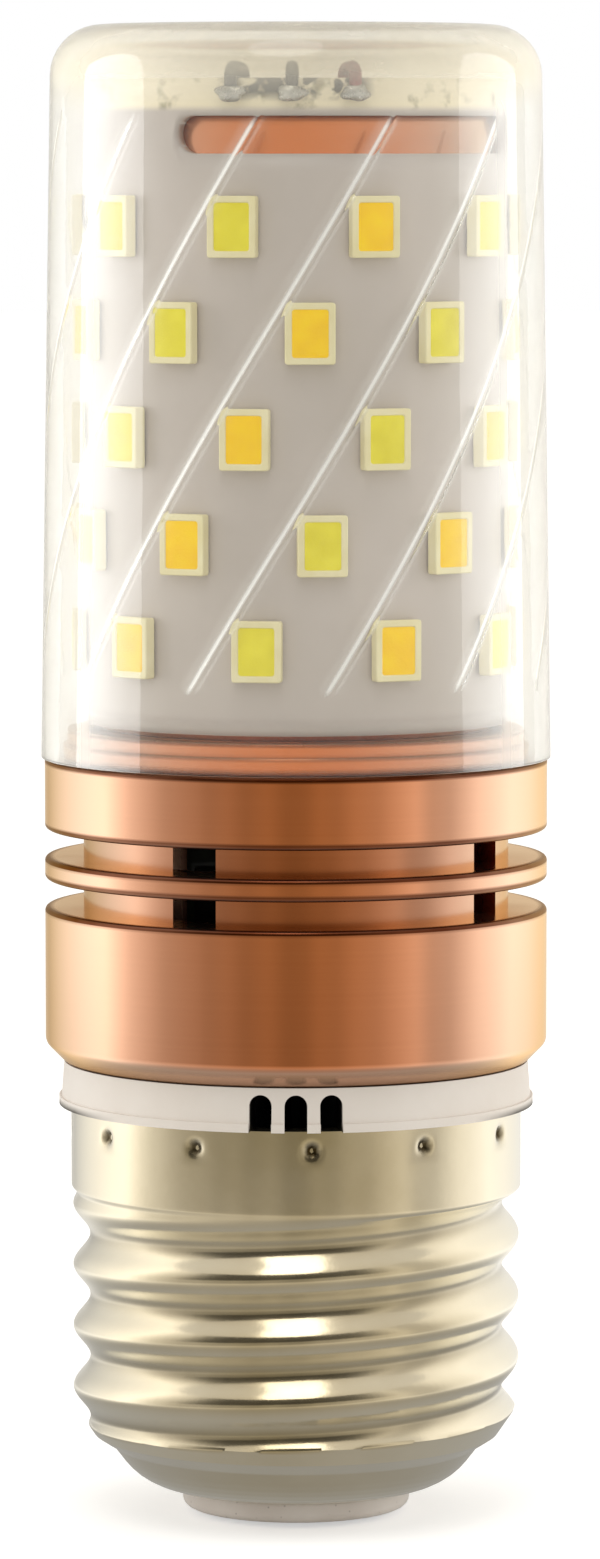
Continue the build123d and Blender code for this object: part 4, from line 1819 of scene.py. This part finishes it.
SOFT_BOXES = (
    SoftBox("left_box", -98.0, 0.5, 0.08, 0.26, 0.6, 3.0),
    SoftBox("right_box", 102.0, 0.5, 0.08, 0.3, 0.6, 2.85),
    SoftBox("top_box", -8.0, 0.34, 0.62, 0.3, 0.5, 1.9, in_gloss=True),
    SoftBox("left_strip", -92.0, 0.15, 0.05, 0.115, 0.24, 3.2, True, "cover_cup"),
    SoftBox("right_strip", 99.0, 0.15, 0.05, 0.12, 0.24, 2.1, True, "cover_cup"),
)


@dataclass
class Studio:
    """Camera, lights, floor and surroundings.

    Attributes:
        distance: Camera's distance in front of the axis, in millimetres.
        eye: Camera's height, in millimetres.
        aside: Camera's place towards +X, in millimetres.
        tilt: How far the camera looks down, in degrees.
        focal_pixels: Focal length in pixels of the photograph.
        long_side: The photograph's longer side in pixels.
        sensor: Camera's sensor, in millimetres.
        clip: Nearest and farthest distance that the camera sees, in metres.
        aim: Height that the lights face, in metres.
        ambient: Brightness of the surroundings.
        sky: Their brightness in gloss.
        air: Their tone.
        floor_half: Half of the floor's side, in metres.
        floor_tone: The floor's tone.
        floor_lift: Light that is added to the floor as the camera sees it.
        card_start: Distance from the axis where the card begins, in metres.
        card_radius: Distance where it turns up, in metres.
        card_height: Its height, in metres.
        card_lift: Its height over the floor, in metres.
        card_columns: Steps round it.
        card_tone: Its tone.
        card_near: Distances where the floor's even light ends and where the card's own is full, in metres.
        card_shade: Distances where the object's shade on the card begins to end and ends, in metres.
        card_floor: Even light on the floor, and the share of the card's own that is added to it.
        card_dusk: Heights where the front dims and where it is dim, in metres, and how much it then loses.
        card_front: Middle of the dim front, and how far to its sides it begins to end and ends, in degrees.
        card_tones: Angle from the front in degrees and brightness there, by turns.
    """

    distance: float = 420.0
    eye: float = 80.6
    aside: float = 0.235
    tilt: float = 5.07
    focal_pixels: float = 7178.0
    long_side: float = 1559.0
    sensor: float = 36.0
    clip: tuple[float, float] = (0.01, 20.0)
    aim: float = 0.045
    ambient: float = 0.7
    sky: float = 0.8
    air: str = "FFFDFA"
    floor_half: float = 3.0
    floor_tone: str = "E8E6E2"
    floor_lift: float = 0.5
    card_start: float = 0.006
    card_radius: float = 0.18
    card_height: float = 0.22
    card_lift: float = 0.0001
    card_columns: int = 96
    card_tone: str = "FFFCF6"
    card_near: tuple[float, float] = (0.04, 0.13)
    card_shade: tuple[float, float] = (0.02, 0.06)
    card_floor: tuple[float, float] = (0.42, 0.7)
    card_dusk: tuple[float, float, float] = (0.045, 0.075, 0.75)
    card_front: tuple[float, float, float] = (-9.0, 35.0, 65.0)
    card_tones: tuple[tuple[float, float], ...] = (
        (-180, 0.8), (-154, 0.6), (-118, 1.2), (-94, 1.7), (-78, 1.0), (-60, 0.58), (-46, 0.5),
        (-38, 0.42), (-30, 0.45), (-22, 0.36), (-12, 0.43), (-4, 0.33), (4, 0.35), (10, 0.45),
        (18, 0.43), (26, 0.56), (36, 0.58), (42, 0.7), (54, 0.9), (62, 0.66), (72, 0.68),
        (88, 1.15), (112, 1.4), (140, 1.1), (180, 0.8),
    )

    def build(self) -> None:
        """Set up everything round the object."""
        scene = bpy.context.scene
        scene.view_settings.view_transform = "Standard"
        scene.camera = self._camera()
        scene.world = self._world()
        self._floor()
        self._card()
        for box in SOFT_BOXES:
            box.build(Vector((0, 0, self.aim)))
        log.info("studio ready")

    def _camera(self) -> bpy.types.Object:
        """Place the camera where the photograph was taken from.

        Returns:
            The camera.
        """
        lens = bpy.data.cameras.new("camera")
        lens.sensor_width = self.sensor
        lens.lens = self.focal_pixels / self.long_side * self.sensor
        lens.clip_start, lens.clip_end = self.clip
        camera = put_in_scene("camera", lens)
        camera.location = metres(self.aside, -self.distance, self.eye)
        camera.rotation_euler = (math.radians(90 - self.tilt), 0, 0)
        return camera

    @staticmethod
    def _seen(nodes: Nodes) -> Socket:
        """Find the rays that show the background: from the camera or through clear plastic."""
        path = nodes.add("LightPath").outputs
        return nodes.maths("MAXIMUM", path["Is Camera Ray"], path["Is Transmission Ray"])

    def _world(self) -> bpy.types.World:
        """Surround the object with soft light, a little stronger in gloss, that is shown as white.

        Returns:
            The world.
        """
        world = bpy.data.worlds.new("studio")
        nodes = Nodes.of(world)
        mirrored = nodes.add("LightPath").outputs["Is Glossy Ray"]
        added = nodes.maths("MULTIPLY", mirrored, self.sky - self.ambient)
        strength = nodes.maths("ADD", self.ambient, added)
        soft = nodes.add("Background", {"Color": linear(self.air), "Strength": strength}).outputs[0]
        white = nodes.add("Background", {"Color": WHITE, "Strength": 1.0}).outputs[0]
        nodes.add("OutputWorld", {"Surface": nodes.mix(self._seen(nodes), soft, white)})
        return world

    def _floor(self) -> None:
        """Lay a pale floor that keeps the object's shadow."""
        half = self.floor_half
        material = bpy.data.materials.new("floor")
        nodes = Nodes.of(material)
        lift = nodes.maths("MULTIPLY", self._seen(nodes), self.floor_lift)
        paint = nodes.add("BsdfDiffuse", {"Color": linear(self.floor_tone)}).outputs[0]
        glow = nodes.add("Emission", {"Color": WHITE, "Strength": lift}).outputs[0]
        nodes.add("OutputMaterial", {"Surface": nodes.add("AddShader", {0: paint, 1: glow}).outputs[0]})
        mesh = bpy.data.meshes.new("floor")
        corners = [(-half, -half, 0), (half, -half, 0), (half, half, 0), (-half, half, 0)]
        mesh.from_pydata(corners, [], [(0, 1, 2, 3)])
        mesh.materials.append(material)
        put_in_scene("floor", mesh)

    def _card(self) -> None:
        """Stand a graded card round the object, seen only in gloss: dim in front and bright at both sides.

        The card is a path of distance and height carried round the axis: along the floor, then straight up.
        """
        path = np.array([
            (self.card_start, self.card_lift),
            (self.card_radius, self.card_lift),
            (self.card_radius, self.card_height),
        ])
        surface = Surface.turned(path, self.card_columns, closed=False)
        mesh = bpy.data.meshes.new("card")
        mesh.from_pydata(surface.points.tolist(), [], surface.faces.tolist())
        mesh.materials.append(self._card_material())
        card = put_in_scene("card", mesh)
        card.visible_camera = card.visible_diffuse = card.visible_transmission = card.visible_shadow = False

    def _card_material(self) -> bpy.types.Material:
        """Grade the card by its angle from the front, and even it out on the floor near the object.

        Returns:
            The card's material.
        """
        material = bpy.data.materials.new("card")
        nodes = Nodes.of(material)
        angle, reach = nodes.bearing(), nodes.reach()
        grade = nodes.add("ValToRGB", {0: nodes.ramp(angle, (-math.pi, math.pi))})
        peak = max(tone for _, tone in self.card_tones)
        stops = grade.color_ramp.elements
        for turn, _ in self.card_tones[1:-1]:
            stops.new(turn / 360 + 0.5)
        for stop, (_, tone) in zip(stops, self.card_tones):
            stop.color = (tone / peak, tone / peak, tone / peak, 1)
        tone = nodes.maths("MULTIPLY", grade.outputs[0], peak)
        tone = nodes.maths("MULTIPLY", tone, self._dusk(nodes, angle))
        level, gain = self.card_floor
        lit = nodes.ramp(reach, self.card_shade, (0.0, gain), smooth=True)
        near = nodes.maths("ADD", nodes.maths("MULTIPLY", tone, lit), level)
        away = nodes.ramp(reach, self.card_near, smooth=True)
        mixed = nodes.add("Mix", {0: away, 2: near, 3: tone}).outputs[0]
        glow = nodes.add("Emission", {"Color": linear(self.card_tone), "Strength": mixed}).outputs[0]
        nodes.add("OutputMaterial", {"Surface": glow})
        return material

    def _dusk(self, nodes: Nodes, angle: Socket) -> Socket:
        """Dim the card's upper front.

        Args:
            nodes: The card's nodes.
            angle: Angle from the front.

        Returns:
            Share of light that is left: one minus the loss times the rise and the nearness to the front.
        """
        start, full, loss = self.card_dusk
        middle, inner, outer = (math.radians(turn) for turn in self.card_front)
        high = nodes.ramp(nodes.place()[2], (start, full), smooth=True)
        aside = nodes.maths("ABSOLUTE", nodes.maths("SUBTRACT", angle, middle))
        front = nodes.ramp(aside, (inner, outer), (loss, 0.0), smooth=True)
        return nodes.maths("SUBTRACT", 1.0, nodes.maths("MULTIPLY", high, front))


def main() -> None:
    """Build every sub-assembly in order."""
    logging.basicConfig(level=logging.INFO, format="%(name)s: %(message)s")
    for part in (ClearCover(), HeatSink(), LedBoard(), Leds(), ScrewCap(), Wires()):
        part.build()
        log.info("%s built", type(part).__name__)
    for node, slot in DRESSED_NODES.items():
        dress_node(node, slot)
    Studio().build()


if __name__ == "__main__":
    main()
